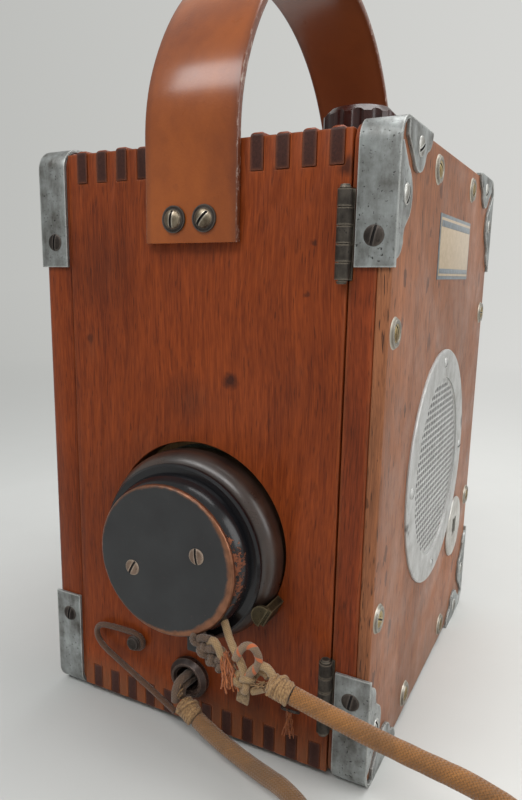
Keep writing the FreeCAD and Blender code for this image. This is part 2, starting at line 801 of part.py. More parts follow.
hinge_feet = [base + leaf_slot_low, base + leaf_slot_high]
case_leaf_y = -barrel_back
door_leaf_y = -barrel_back - door_gap - hinge_leaf
case_leaf = hinge_leaf_set("case_leaf", (0, 2, 4), case_leaf_y, case_leaf_y, hinge_leaf)
tab_width = barrel_radius - barrel_back - door_gap
door_leaf = hinge_leaf_set("door_leaf", (1, 3), door_leaf_y, -barrel_radius, tab_width)
hinge_spots = [(hinge_x, hinge_y, z, UPRIGHT) for z in hinge_feet]
node("hinge_leaves_case", copies("hinge_leaves_case", case_leaf, hinge_spots))
node("hinge_leaves_door", copies("hinge_leaves_door", door_leaf, hinge_spots))
pin = turned(
    "hinge_pin",
    [(0, -1.2), (1.5, -1.2), (1.9, -0.2), (pin_radius, -0.2), (pin_radius, hinge_length + 0.2),
     (1.9, hinge_length + 0.2), (1.5, hinge_length + 1.2), (0, hinge_length + 1.2)],
)
node("hinge_pins", copies("hinge_pins", pin, hinge_spots))
leaf_head = turned("leaf_head", [(0, 0), (1.7, 0), (1.7, hinge_leaf), (0, hinge_leaf)])
leaf_screw_x = hinge_x + barrel_out + hinge_span * 0.55
case_spots = []
door_spots = []
for z in hinge_feet:
    for k in (0.25, 0.75):
        case_spots.append((leaf_screw_x, seam, z + hinge_length * k, OUT_BACK))
        door_spots.append((leaf_screw_x, seam - door_gap, z + hinge_length * k, OUT_FRONT))
node("hinge_screws_case", copies("hinge_screws_case", leaf_head, case_spots))
node("hinge_screws_door", copies("hinge_screws_door", leaf_head, door_spots))

# Door: four rails, a panel screwed to them, and the fittings on it

stile = new_body("stile")
round_stile = [
    (corner_round, 0), (rail_width, 0), (rail_width, door_height),
    (corner_round, door_height), (0, door_height - corner_round), (0, corner_round),
]
stile_face = outline(sketch(stile, "XZ_Plane", "stile_face"), round_stile, {3: corner_round, 5: corner_round})
pad(stile, stile_face, rail_depth)
put(stile, left, seam - door_gap, door_bottom)
stile_mortises = [
    block(f"stile_mortise_{i}", left, seam - door_gap - hinge_leaf, z, hinge_span, hinge_leaf, hinge_length)
    for i, z in enumerate(hinge_feet)
]
left_stile = cut("left_stile", stile, fused("stile_mortise_pair", stile_mortises))
right_stile = mirrored("right_stile", stile, ACROSS, middle_x)
node("door_stiles", group("door_stiles", [left_stile, right_stile]))
rail_length = case_width - 2 * rail_width
rails = [
    block(f"rail_{i}", left + rail_width, panel_back, z, rail_length, rail_depth, rail_width)
    for i, z in enumerate((door_bottom, door_bottom + door_height - rail_width))
]
node("door_rails", group("door_rails", rails))

panel = new_body("door_panel")
panel_points, panel_arcs = rounded(case_width, door_height, corner_round)
pad(panel, outline(sketch(panel, "XZ_Plane", "panel_face"), panel_points, panel_arcs), panel_thick)
openings = sketch(panel, "XZ_Plane", "panel_holes")
circle(openings, grille_x, grille_z + panel_overhang, sound_hole)
circle(openings, lock_x, lock_z + panel_overhang, plug_radius + plug_play)
pocket(panel, openings, panel_thick)
put(panel, left, panel_back, door_bottom)
node("door_panel", panel)

mid_z = base + body_height / 2
low_edge = base + panel_screw_edge
high_edge = crown - panel_screw_edge
panel_spots = []
for x in (left + panel_screw_edge, right - panel_screw_edge):
    for side in (-1, 1):
        panel_spots.append((x, front, mid_z + side * panel_screw_z, OUT_FRONT))
for z in (low_edge, high_edge):
    for side in (-1, 1):
        panel_spots.append((middle_x + side * panel_screw_x, front, z, OUT_FRONT))
cup = turned(
    "cup_washer",
    [
        (0, 0), (cup_radius, 0), (cup_radius * 0.84, 1.1), (cup_radius * 0.66, 1.1),
        (cup_radius * 0.5, 0.5), (0, 0.5),
    ],
)
node("cup_washers", copies("cup_washers", cup, panel_spots))
oval = turned(
    "oval_head",
    [(0, 0.5), (cup_radius * 0.5, 0.5), (cup_radius * 0.62, 1.0), (cup_radius * 0.3, 1.6), (0, 1.6)],
)
node("panel_screws", copies("panel_screws", oval, panel_spots))

# Perforated grille: a round sheet with rows of square holes set on their corners


def grille():
    disc = rod("grille_disc", grille_at_x, front, grille_at_z, grille_radius, grille_sheet, OUT_FRONT)
    punch = doc.addObject("Part::Prism", "grille_punch")
    punch.Polygon = 4
    bind(punch, "Circumradius", grille_holes)
    bind(punch, "Height", grille_sheet)
    rings = grille_rings.value
    pitch = place("grille_pitch", sound_hole / (grille_rings + 0.45))
    spots = []
    for row in range(-int(rings * 1.2), int(rings * 1.2) + 1):
        up = round(row * math.sqrt(3) / 2, 4)
        for column in range(-int(rings) - 1, int(rings) + 2):
            along = column + row % 2 / 2
            if math.hypot(along, up) <= rings:
                spots.append((grille_at_x + pitch * along, front, grille_at_z + pitch * up, OUT_FRONT))
    return cut("grille", disc, copies("grille_holes", punch, spots))


node("grille", grille())
small_head = screw_head("small_head", 2.6, 1.0, 0.7, 0.45)
grille_face = front - grille_sheet
grille_spots = [
    (grille_at_x + u * grille_screw_circle, grille_face, grille_at_z + v * grille_screw_circle, OUT_FRONT)
    for u, v in ((0, 1), (1, 0), (0, -1), (-1, 0))
]
node("grille_screws", copies("grille_screws", small_head, grille_spots))

# Transmitter behind the grille, let into the panel's hole from inside

shell = turned(
    "transmitter_cup",
    [
        (transmitter_radius - transmitter_wall, 0), (transmitter_radius + 5, 0),
        (transmitter_radius + 5, transmitter_wall), (transmitter_radius, transmitter_wall),
        (transmitter_radius, transmitter_depth - 4), (transmitter_radius - 4, transmitter_depth),
        (0, transmitter_depth), (0, transmitter_depth - transmitter_wall),
        (transmitter_radius - transmitter_wall, transmitter_depth - transmitter_wall),
    ],
)
node("transmitter_shell", put(shell, grille_at_x, panel_back, grille_at_z, OUT_BACK))
capsule_floor = transmitter_depth - transmitter_wall
capsule = turned(
    "capsule_body",
    [
        (0, capsule_floor - 8), (9, capsule_floor - 8), (9, capsule_floor - 10),
        (12, capsule_floor - 10), (12, capsule_floor - 8), (26, capsule_floor - 7),
        (26, capsule_floor), (0, capsule_floor),
    ],
)
node("transmitter_capsule", put(capsule, grille_at_x, panel_back, grille_at_z, OUT_BACK))

# Lock: a round escutcheon over a plug with a square socket, and a cam behind the door

plate = turned(
    "lock_plate",
    [
        (0, 0), (lock_plate, 0), (lock_plate, lock_sheet - 0.6), (lock_plate - 0.6, lock_sheet),
        (0, lock_sheet),
    ],
)
key_hole = sketch(plate, "XY_Plane", "key_hole")
outline(key_hole, rectangle(-lock_square / 2, -lock_square / 2, lock_square, lock_square))
pocket(plate, key_hole, lock_sheet)
node("lock_escutcheon", put(plate, lock_at_x, front, lock_at_z, OUT_FRONT))
cam_front = place("cam_front", seam + 1.6)
plug_front = place("plug_front", front + 0.1)
plug_length = cam_front - plug_front
plug_solid = rod("plug_solid", lock_at_x, plug_front, lock_at_z, plug_radius, plug_length, OUT_BACK)
socket = block(
    "key_socket", lock_at_x - key_square / 2, plug_front, lock_at_z - key_square / 2,
    key_square, key_depth, key_square,
)
node("lock_plug", cut("lock_plug", plug_solid, socket))
cam_disc = rod("cam_disc", lock_at_x, cam_front, lock_at_z, plug_radius, cam_thick, OUT_BACK)
cam_arm = block(
    "cam_arm", lock_at_x - cam_half, cam_front, lock_at_z, 2 * cam_half, cam_thick, cam_reach - cam_half,
)
cam_end = lock_at_z + cam_reach - cam_half
cam_tip = rod("cam_tip", lock_at_x, cam_front, cam_end, cam_half, cam_thick, OUT_BACK)
node("lock_cam", fused("lock_cam", [cam_disc, cam_arm, cam_tip]))
case_ring = washer("lock_case_ring", plug_radius + plug_play, 11.0, cam_front - panel_back - 0.6)
node("lock_case", put(case_ring, lock_at_x, panel_back, lock_at_z, OUT_BACK))
strike_foot = lock_at_z - strike_length / 2
strike_y = seam + 0.2
strike_base = block("strike_base", inner_right - 1.5, strike_y, strike_foot, 1.5, strike_depth, strike_length)
strike_lip = block(
    "strike_lip", inner_right - strike_reach, strike_y, strike_foot, strike_reach, 1, strike_length,
)
node("lock_strike", fused("lock_strike", [strike_base, strike_lip]))

# Fluted knob and rotary switch

blank = turned(
    "knob_blank",
    [
        (shaft_radius, 0), (knob_radius - 1, 0), (knob_radius, 1), (knob_radius, knob_height - 3),
        (knob_radius - 3, knob_height), (0, knob_height), (0, knob_height - 5),
        (shaft_radius, knob_height - 5),
    ],
)
knob_z = place("knob_z", crown + knob_lift)
put(blank, middle_x, knob_at_y, knob_z)
flute = doc.addObject("Part::Cylinder", "flute")
flute.Radius = 3.4
bind(flute, "Height", knob_height)
flute_circle = place("flute_circle", knob_radius + 2.1)
flute_spots = []
flutes = int(knob_flutes.value)
for i in range(flutes):
    angle = math.radians(360 * (i + 0.5) / flutes)
    flute_x = middle_x + flute_circle * round(math.cos(angle), 4)
    flute_y = knob_at_y + flute_circle * round(math.sin(angle), 4)
    flute_spots.append((flute_x, flute_y, knob_z, UPRIGHT))
node("knob", cut("knob", blank, copies("knob_flutes", flute, flute_spots)))
deck_top = place("deck_top", crown - board)
shaft_foot = place("shaft_foot", deck_top - 9)
shaft_length = knob_z + knob_height - 5 - shaft_foot
shaft = rod("knob_shaft", middle_x, knob_at_y, shaft_foot, shaft_radius, shaft_length)
node("knob_shaft", shaft)
switch = turned(
    "rotary_switch_body",
    [
        (0, -switch_depth), (switch_radius - 1, -switch_depth), (switch_radius, 1 - switch_depth),
        (switch_radius, 0), (bushing_radius, 0), (bushing_radius, board + knob_lift - 0.8),
        (shaft_radius + shaft_play, board + knob_lift - 0.8), (shaft_radius + shaft_play, -9.5), (0, -9.5),
    ],
)
node("rotary_switch", put(switch, middle_x, knob_at_y, deck_top))

# Receiver: a watch-case shell with a hard-rubber ear cap, seated in the hole of the left side

cap_side = cap_radius
cap_foot = -cap_in
ear_cap = turned(
    "ear_cap_body",
    [
        (6, 1.5 - cap_in), (26, cap_foot), (cap_side - 2, cap_foot), (cap_side, 2 - cap_in),
        (cap_side, cap_out - 1.9), (cap_side - 1.9, cap_out), (shell_skirt, cap_out),
        (shell_skirt, -4.4), (6, -4.4),
    ],
    {2: 2.0, 4: 1.9},
)


def at_receiver(target, turn=0):
    """Put a piece on the receiver's axis, its local +X turned from straight up."""
    facing = OUT_LEFT.multiply(Rotation(Vector(0, 0, 1), turn))
    return put(target, left, receiver_at_y, receiver_at_z, facing)


node("ear_cap", at_receiver(ear_cap))
bead_top = cap_out + 3.0
shell_inside = shell_out - shell_wall
shell_cup = turned(
    "receiver_cup",
    [
        (shell_skirt - shell_wall, -3.9), (shell_skirt, -3.9), (shell_skirt, cap_out),
        (shell_skirt + 2.5, cap_out), (shell_skirt + 3.3, cap_out + 0.9), (shell_skirt + 3.3, bead_top - 0.9),
        (shell_skirt + 2.5, bead_top), (shell_skirt, bead_top), (shell_neck, shell_out), (0, shell_out),
        (0, shell_inside), (shell_neck - shell_wall, shell_inside), (shell_skirt - shell_wall, bead_top),
    ],
    {7: 12.0},
)
node("receiver_shell", at_receiver(shell_cup))
back_top = shell_out + back_cap_thick
back_disc = turned(
    "back_disc",
    [
        (0, shell_out), (back_cap_radius - 0.6, shell_out), (back_cap_radius, shell_out + 0.6),
        (back_cap_radius, back_top - 1.2), (back_cap_radius - 1.2, back_top), (0, back_top),
    ],
    {3: 1.2},
)
node("back_cap", at_receiver(back_disc))
back_head = screw_head("back_head", 3.1, back_screw_rise, 1.0, 0.5)
back_turn_y = place("back_turn_y", back_screw_circle * cosine(back_screw_turn))
back_turn_z = place("back_turn_z", back_screw_circle * sine(back_screw_turn))
back_spots = [
    (left - back_top, receiver_at_y + k * back_turn_y, receiver_at_z + k * back_turn_z, OUT_LEFT)
    for k in (-1, 1)
]
node("back_cap_screws", copies("back_cap_screws", back_head, back_spots))
disc_radius = shell_skirt - 0.1
node("diaphragm", rod("diaphragm", left + 4.4, receiver_at_y, receiver_at_z, disc_radius, 0.5, OUT_LEFT))
yoke_foot = left - shell_inside + 6
yoke = rod("yoke", yoke_foot, receiver_at_y, receiver_at_z, 20, 6, OUT_LEFT)
poles = [
    block(f"pole_{i}", yoke_foot, receiver_at_y + y, receiver_at_z - 6, shell_inside - 6 + 3.3, 5, 12)
    for i, y in enumerate((-9, 4))
]
node("receiver_magnet", fused("receiver_magnet", [yoke] + poles))
terminal = new_body("terminal_block_body")
terminal_face = sketch(terminal, "XY_Plane", "terminal_face", bead_top)
outline(
    terminal_face,
    [
        (shell_skirt, -5), (shell_skirt + 8, -5), (shell_skirt + 9.7, -3.3), (shell_skirt + 9.7, 3.3),
        (shell_skirt + 8, 5), (shell_skirt, 5),
    ],
    {1: 1.7, 3: 1.7},
)
pad(terminal, terminal_face, 6.2)
node("terminal_block", at_receiver(terminal, -163.0))
lug = new_body("rim_lug_body")
lug_side = sketch(lug, "XZ_Plane", "lug_side")
lug_end = cap_radius + 3.2
outline(
    lug_side,
    [
        (shell_skirt + 3.5, cap_out), (lug_end - 1.2, cap_out), (lug_end - 1.2, 0.3), (lug_end, 0.3),
        (lug_end, cap_out + 1.4), (shell_skirt + 3.5, cap_out + 1.4),
    ],
)
lug_pad = pad(lug, lug_side, 8)
lug_pad.Midplane = True
node("rim_lug", at_receiver(lug, -117.0))
seat = washer("seat_ring", 12.0, seat_radius, seat_thick)
node("receiver_seat", put(seat, inner_left, seam + receiver_y, base + receiver_z, OUT_RIGHT))
felt = washer("felt_ring", 20.0, receiver_hole - 2.7, board - cap_in - soft_gap)
node("seat_pad", put(felt, inner_left, seam + receiver_y, base + receiver_z, OUT_LEFT))

# Fittings of the cord on the left side

ferrule = turned(
    "ferrule_body",
    [
        (ferrule_bore, -board), (ferrule_tube, -board), (ferrule_tube, 0), (ferrule_radius, 0),
        (ferrule_radius, ferrule_rise - 1.8), (ferrule_radius - 1.8, ferrule_rise),
        (ferrule_bore + 1, ferrule_rise), (ferrule_bore, ferrule_rise - 1),
    ],
)
node("cord_ferrule", put(ferrule, left, seam + ferrule_y, base + ferrule_z, OUT_LEFT))
stay = turned(
    "stay_screw_body",
    [(0, 0), (1.6, 0), (1.6, 4.0), (3.2, 4.0), (2.6, 5.2), (0, 5.2)],
)
node("stay_screw", put(stay, left, seam + stay_screw_y, base + stay_screw_z, OUT_LEFT))


def fit(x, y, z):
    """A point given from the left face, the seam and the case's underside."""
    return (left + x, seam + y, base + z)


def whipping(name, middle, ahead):
    """Thread wound around a cord, on the line from one point towards another."""
    start = point(*fit(*middle))
    along = (point(*fit(*ahead)) - start).normalize()
    foot = start - along * 4.5
    wound = doc.addObject("Part::Cylinder", name)
    wound.Radius = 4.2
    wound.Height = 9
    wound.Placement = FreeCAD.Placement(foot, Rotation(Vector(0, 0, 1), along))
    return wound


# The receiver cord: out of the upper whipping, past the door, three turns of a stored coil, back
# along the table and up into the lower whipping

hank_x = -84.0
hank_y = -127.0
hank_radius = 38.3
turn_steps = 12
hank_steps = 31
table_rest = 0.25
hank_pitch = place("hank_pitch", 2 * cord_radius + 0.3)
hank = []
for step in range(hank_steps + 1):
    angle = math.radians(-360 / turn_steps * step)
    level = table_rest + hank_pitch.value * (hank_steps - step) / turn_steps
    hank.append(fit(hank_x + hank_radius * math.cos(angle), hank_y + hank_radius * math.sin(angle), level))
outward = [
    fit(-23.3, 4.7, 44.5), fit(-23.3, -14.0, 40.5), fit(-25.6, -37.0, 38.6), fit(-29.5, -60.5, 38.6),
    fit(-36, -84, 32.5), fit(-42.5, -105, 24.5),
]
homeward = [
    fit(-103.5, -85.5, 0.25), fit(-79, -58, 0.4), fit(-51, -30, 2.2), fit(-26.5, 0, 8.6),
    fit(-17, 22, 4.8), fit(-12.5, 41, 7.4), fit(-9.85, 50.75, 10.3),
]
wires("receiver_cord", [outward + hank + homeward], cord_radius)
node("upper_cord_tie", whipping("upper_cord_tie", (-23.3, 9.4, 45.5), (-23.3, -14.6, 40.35)))


def band_outline(half, low, high):
    """The outline of a band around a stack of turns, its corners cut."""
    nose = half * 0.7
    return [
        (half, low), (half, high), (nose, high + half), (-nose, high + half),
        (-half, high), (-half, low), (-nose, low - half), (nose, low - half),
    ]


band_low = table_rest + hank_pitch * (hank_steps % turn_steps - 0.5) / turn_steps
band_high = band_low + 2 * hank_pitch
band_width = 7.0
band = new_body("hank_band")
band_face = sketch(band, "XZ_Plane", "band_face")
for half in (cord_radius + 0.3, cord_radius + 1.4):
    outline(band_face, band_outline(half, band_low, band_high))
pad(band, band_face, band_width)
half_step = math.radians(180 / turn_steps)
run_middle = hank_radius * math.cos(half_step)
band_x = hank_x + run_middle * math.cos(half_step) + band_width / 2 * math.sin(half_step)
band_y = hank_y - run_middle * math.sin(half_step) + band_width / 2 * math.cos(half_step)
put(band, left + band_x, seam + band_y, base, Rotation(Vector(0, 0, 1), -180 / turn_steps))
lower_whipping = whipping("lower_whipping", (-9.0, 55.5, 12.5), (-10.5, 46.6, 8.35))
node("lower_cord_tie", group("lower_cord_tie", [lower_whipping, band]))
wires(
    "receiver_leads",
    [
        [
            fit(-18, 33.6, 58.6), fit(-20, 30.8, 54), fit(-22, 24.6, 46.5), fit(-22, 23.6, 41.5),
            fit(-22, 24.2, 37),
        ],
        [fit(-17, 42.1, 48.6), fit(-18, 37, 50.6), fit(-20, 32, 48.6), fit(-22, 28.0, 44.4)],
        [
            fit(-23.45, 27, 51.5), fit(-23.6, 24.4, 57.6), fit(-23.2, 20.2, 58.6), fit(-22.8, 17.6, 54.2),
            fit(-23.0, 18.1, 50.0), fit(-23.4, 14.6, 47.8),
        ],
        [fit(-20.5, 15.1, 46.5), fit(-19.5, 18.1, 48.0), fit(-19.5, 20.6, 46.2), fit(-20.4, 21.6, 43.9)],
        [fit(-22.2, 15.8, 43.2), fit(-22.0, 18.6, 41.2), fit(-22.2, 20.8, 40.3)],
    ],
    1.22,
)
wires(
    "ferrule_leads",
    [
        [fit(-6.2, 60.7, 15.0), fit(-6.3, 61.3, 19.3), fit(0, 60.2, 19.6), fit(5.5, 60.2, 19.6)],
        [fit(-9.85, 61.45, 15.1), fit(-10.4, 61.5, 22.6), fit(-1.5, 60.3, 23.4), fit(5.5, 60.3, 23.4)],
    ],
    1.75,
)
wires(
    "stay_cord",
    [[
        fit(-2.1, 89.5, 27.1), fit(-2.1, 83.1, 27.3), fit(-2.1, 83.1, 34.1), fit(-3, 96, 34.9),
        fit(-3.2, 107.2, 34), fit(-3.6, 106.6, 25.9), fit(-5, 92, 20), fit(-7, 74, 13.5),
        fit(-8.4, 62.8, 9.0),
    ]],
    1.5,
)
wires(
    "thread_hook",
    [[
        fit(0, 18.1, 22.6), fit(-2.3, 18.1, 22.6), fit(-2.6, 15, 22.8), fit(-2.6, 12, 22.9),
        fit(-1.2, 11.2, 22.2),
    ]],
    0.6,
    6,
)

# Inside the case: battery, chassis board and its instruments

cells = []
for i in range(2):
    cell_x = inner_left + 7 + cell_radius + i * (2 * cell_radius + 0.6)
    can = rod(f"cell_can_{i}", cell_x, rear - cell_radius - soft_gap, inner_base, cell_radius, cell_height)
    cap = rod(f"cell_cap_{i}", cell_x, rear - cell_radius - soft_gap, inner_base + cell_height, 8, 6)
    cells.append(fused(f"cell_{i}", [can, cap]))
node("battery_cells", group("battery_cells", cells))
board_left = seat_face + soft_gap
chassis_width = inner_right - board_left
chassis = block(
    "chassis_board", board_left, chassis_front, inner_base, chassis_width, chassis_thick, chassis_height,
)
node("chassis_board", chassis)
coil_x = left + coil_inset
coil_y = chassis_front - coil_radius - 1
coil_z = inner_base + chassis_height - coil_drop
winding = rod("coil_winding", coil_x, coil_y, coil_z, coil_radius - 1, coil_length, OUT_RIGHT)
cheeks = [
    block(
        f"coil_cheek_{i}", x, chassis_front - 2 * coil_radius - 2, coil_z - coil_radius - 1,
        4, 2 * coil_radius + 2, 2 * coil_radius + 2,
    )
    for i, x in enumerate((coil_x, coil_x + coil_length - 4))
]
node("induction_coil", fused("induction_coil", [winding] + cheeks))
can = block(
    "condenser", inner_right - condenser_clear - condenser_width, chassis_front - condenser_depth,
    inner_base + condenser_rise,
    condenser_width, condenser_depth, condenser_height,
)
node("condenser", can)
strip_x = left + strip_inset
strip_y = chassis_front - strip_depth
strip_z = inner_base + strip_rise
strip_body = block("strip_body", strip_x, strip_y, strip_z, strip_length, strip_depth, strip_height)
first_post = strip_x + (strip_length - 5 * post_pitch) / 2 + 0.5
posts = [
    rod(f"post_{i}", first_post + post_pitch * i, strip_y, strip_z + strip_height / 2, 2.2, 5, OUT_FRONT)
    for i in range(6)
]
node("terminal_strip", fused("terminal_strip", [strip_body] + posts))
wires(
    "case_wiring",
    [
        [
            fit(11.9, 4, body_height - 33.5), fit(22, 8, body_height - 45.5),
            fit(34, 22, body_height - 70.5), fit(41.5, 32, 135), fit(41.5, 37, 123),
            fit(41.5, 39.0, 117),
        ],
        [
            fit(11.9, 4, 32), fit(20, 10, 45), fit(24, 24, 75), fit(34, 33, 98), fit(52.5, 37, 111),
            fit(52.5, 39.0, 117),
        ],
        [
            fit(12.3, 61.5, 21.5), fit(13.7, 54, 22), fit(14.6, 44, 26), fit(20, 38, 38), fit(36, 32, 62),
            fit(56, 32, 88), fit(63.5, 36, 106), fit(63.5, 39.0, 116.5),
        ],
        [
            fit(84, 30, body_height - 28.1), fit(74, 30, body_height - 44.5), fit(54, 31, 165),
            fit(53, 34, 140), fit(66, 36, 129.5), fit(74.5, 38, 122.5), fit(74.5, 39.0, 117),
        ],
    ],
    wire_radius,
    6,
)
wires(
    "door_wiring",
    [
        [
            fit(80, 13.2, 112), fit(70, 15, 118), fit(48, 14, 135), fit(30, 8, body_height - 70.5),
            fit(19, 2, body_height - 50.5), fit(14, -4, body_height - 38.5),
        ],
        [
            fit(80, 13.2, 92), fit(68, 14.5, 84), fit(46, 13, 68), fit(28, 8, 54), fit(19, 2, 44),
            fit(14, -4, 36),
        ],
    ],
    wire_radius,
    6,
)

# Build, test and write the sub-parts

doc.recompute()
wrong = [f.Name for f in doc.Objects if "Invalid" in f.State or "Error" in f.State]
if wrong:
    raise SystemExit("features with errors: " + ", ".join(wrong))
for before, feature in pockets:
    if feature.Shape.Volume > before.Shape.Volume - 0.01:
        raise SystemExit("a pocket cuts nothing: " + feature.Name)
os.makedirs("parts", exist_ok=True)
for name, target in nodes.items():
    shape = target.Shape
    if shape.isNull() or not shape.isValid() or not shape.Solids:
        raise SystemExit("no valid solid: " + name)
    Part.export([target], f"parts/{name}.step")
print(len(nodes), "sub-parts")
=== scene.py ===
# %% [markdown]
# # A line test telephone, dressed for its portrait
#
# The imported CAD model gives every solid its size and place. This notebook takes it as a fixed
# frame, then gives each board, strap, cord and screw the surface that the real one has. It goes
# in the order in which a restorer would lay the set out: where it stands and who looks at it,
# then the finishes, then the pieces from the outside in.

# %% The fixed frame
import math
import random

import bmesh
import bpy
from bmesh.types import BMEdge, BMFace, BMVert
from mathutils import Matrix, Vector


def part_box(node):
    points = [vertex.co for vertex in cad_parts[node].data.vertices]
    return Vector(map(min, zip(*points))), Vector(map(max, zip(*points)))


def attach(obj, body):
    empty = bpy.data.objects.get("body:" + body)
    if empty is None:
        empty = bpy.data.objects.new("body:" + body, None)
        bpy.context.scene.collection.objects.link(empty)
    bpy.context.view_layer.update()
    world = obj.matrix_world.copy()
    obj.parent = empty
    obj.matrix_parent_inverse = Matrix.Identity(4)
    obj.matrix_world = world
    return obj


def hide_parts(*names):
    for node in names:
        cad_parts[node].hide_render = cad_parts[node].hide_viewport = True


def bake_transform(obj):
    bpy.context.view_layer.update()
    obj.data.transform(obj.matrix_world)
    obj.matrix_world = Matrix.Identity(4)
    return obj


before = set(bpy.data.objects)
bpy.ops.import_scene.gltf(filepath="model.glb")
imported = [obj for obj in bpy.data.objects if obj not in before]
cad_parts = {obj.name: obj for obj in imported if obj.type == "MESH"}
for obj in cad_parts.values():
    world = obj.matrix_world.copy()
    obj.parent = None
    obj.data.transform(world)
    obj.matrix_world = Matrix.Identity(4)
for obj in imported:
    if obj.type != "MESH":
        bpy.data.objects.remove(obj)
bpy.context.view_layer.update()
MM = 0.001
case_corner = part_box("side_board_left")[0]
random.seed(11)


def spot(x, y, z):
    """A point in millimetres from the case's left face, its front edge and its underside."""
    return case_corner + Vector((x, y, z)) * MM


def show(name, data):
    """Puts a new object into the scene, unmoved."""
    made = bpy.data.objects.new(name, data)
    bpy.context.scene.collection.objects.link(made)
    return made


# %% [markdown]
# ## The camera
#
# A phone camera held about 30 cm away sees the set from the receiver's side, a little from
# above. Its place was found by fitting the case's edges, the finger joints and the receiver's
# circle. The picture is a crop of a larger frame, so the lens is shifted a little sideways.

# %% The camera
lens = bpy.data.cameras.new("camera")
lens.sensor_width = 36
lens.lens = 30.638
lens.shift_x = 0.049
lens.shift_y = 0.0188
lens.clip_start = 0.01
viewer = show("camera", lens)
viewer.location = (-0.297403, -0.133634, 0.187513)
viewer.rotation_euler = [math.radians(a) for a in (78.4396, -0.4303, -60.5169)]
bpy.context.scene.camera = viewer
print("camera", tuple(viewer.location))

# %% [markdown]
# ## Helpers for node trees
#
# A finish is a small network of nodes. Wiring it by hand takes three lines a node, so a few short
# helpers add a node with its settings and sockets in one call. A socket knows the tree that it
# belongs to, so a node that takes one goes into that tree by itself, and the usual nodes, noise,
# stretching and range changes, read like plain functions.


# %% One call for a node
def paint(red, green, blue):
    """A colour as read off a paint card, from 0 to 255, turned into linear light."""
    return (*(((c / 255 + 0.055) / 1.055) ** 2.4 for c in (red, green, blue)), 1.0)


def add(tree, kind, sockets=None, **settings):
    """A node's outputs, its settings made and its sockets filled by numbers or other sockets."""
    node = tree.nodes.new("ShaderNode" + kind)
    for key, value in settings.items():
        setattr(node, key, value)
    for key, value in (sockets or {}).items():
        if isinstance(value, bpy.types.NodeSocket):
            tree.links.new(value, node.inputs[key])
        else:
            node.inputs[key].default_value = value
    return node.outputs


def joined(kind, sockets, out=0, **settings):
    """One output of a node in the tree of the sockets that it takes."""
    tree = next(s.id_data for s in sockets.values() if isinstance(s, bpy.types.NodeSocket))
    return add(tree, kind, sockets, **settings)[out]


# %% The usual nodes by name
def noise(place, scale, detail=3.0, roughness=0.55, out="Fac"):
    sockets = {"Vector": place, "Scale": scale, "Detail": detail, "Roughness": roughness}
    return joined("TexNoise", sockets, out)


def stretch(place, scale=(1, 1, 1), turn=(0, 0, 0)):
    return joined("Mapping", {"Vector": place, "Rotation": turn, "Scale": scale})


def span(value, low, high, to_low=0.0, to_high=1.0):
    return joined("MapRange", {0: value, 1: low, 2: high, 3: to_low, 4: to_high})


def maths(operation, a, b=0.0):
    return joined("Math", {0: a, 1: b}, operation=operation)


def times(a, b):
    return maths("MULTIPLY", a, b)


def plus(a, b):
    return maths("ADD", a, b)


def vectors(operation, a, b=(0, 0, 0), out=0):
    return joined("VectorMath", {0: a, 1: b}, out, operation=operation)


def mix(share, a, b, way="MIX"):
    return joined("Mix", {0: share, 6: a, 7: b}, 2, data_type="RGBA", blend_type=way)


def part_of(vector, axis):
    return joined("SeparateXYZ", {0: vector}, axis)


def bump(height, depth, strength=1.0):
    """A normal from a height of 0 to 1 that stands for this depth in millimetres."""
    return joined("Bump", {"Height": height, "Distance": depth * MM, "Strength": strength})


def shaken(place, scale, detail, reach):
    """A place moved by noise, from nothing up to a reach in metres."""
    drift = noise(place, scale, detail, 0.5, "Color")
    return vectors("ADD", place, vectors("MULTIPLY", drift, (reach,) * 3))


def laid(colour, mask, share, tone):
    """A colour with a tone of the paint card laid over it where a mask says, up to a share."""
    return mix(times(mask, share), colour, paint(*tone))


# %% Groups: what several finishes share
def effect(name, inputs, outputs):
    """An empty node group. Inputs give a default, or None for a vector; outputs give a type."""
    group = bpy.data.node_groups.new(name, "ShaderNodeTree")
    for label, value in inputs.items():
        kind = "Vector" if value is None else "Color" if isinstance(value, tuple) else "Float"
        entry = group.interface.new_socket(label, in_out="INPUT", socket_type="NodeSocket" + kind)
        if value is not None:
            entry.default_value = value
    for label, kind in outputs.items():
        group.interface.new_socket(label, in_out="OUTPUT", socket_type="NodeSocket" + kind)
    given = group.nodes.new("NodeGroupInput").outputs
    result = group.nodes.new("NodeGroupOutput").inputs
    return group, given, result


def give(result, **sockets):
    """Wires what a group or a shader puts out, named by socket, with _ for a space."""
    for key, value in sockets.items():
        value.id_data.links.new(value, result[key.replace("_", " ")])


def use(tree, group, **sockets):
    """A group's outputs in a finish's tree."""
    return add(tree, "Group", sockets, node_tree=group)


# %% [markdown]
# ## Finishes
#
# Each finish gets the name that the CAD record uses for it, so that a node of the frame can look
# its finish up by its slot. All patterns read Object coordinates in metres, so a scale of 500
# means features about 2 mm apart.

# %% A new finish
finishes = {}


def finish(name, **sockets):
    """A new material: its tree, its shader's inputs and its Object coordinates."""
    material = bpy.data.materials.new(name)
    material.use_nodes = True
    tree = material.node_tree
    shader = tree.nodes["Principled BSDF"].inputs
    for key, value in sockets.items():
        shader[key.replace("_", " ")].default_value = value
    finishes[name] = material
    return tree, shader, add(tree, "TexCoord")["Object"]


# %% [markdown]
# ### Effects that several finishes share
#
# Wood fibres are long and thin, so the grain is noise stretched along one axis: wide bands, fine
# fibres and short dark pores. A little wander keeps the lines from being ruled. The group takes
# the grain to run along Z, and a board whose grain runs another way turns its coordinates first.

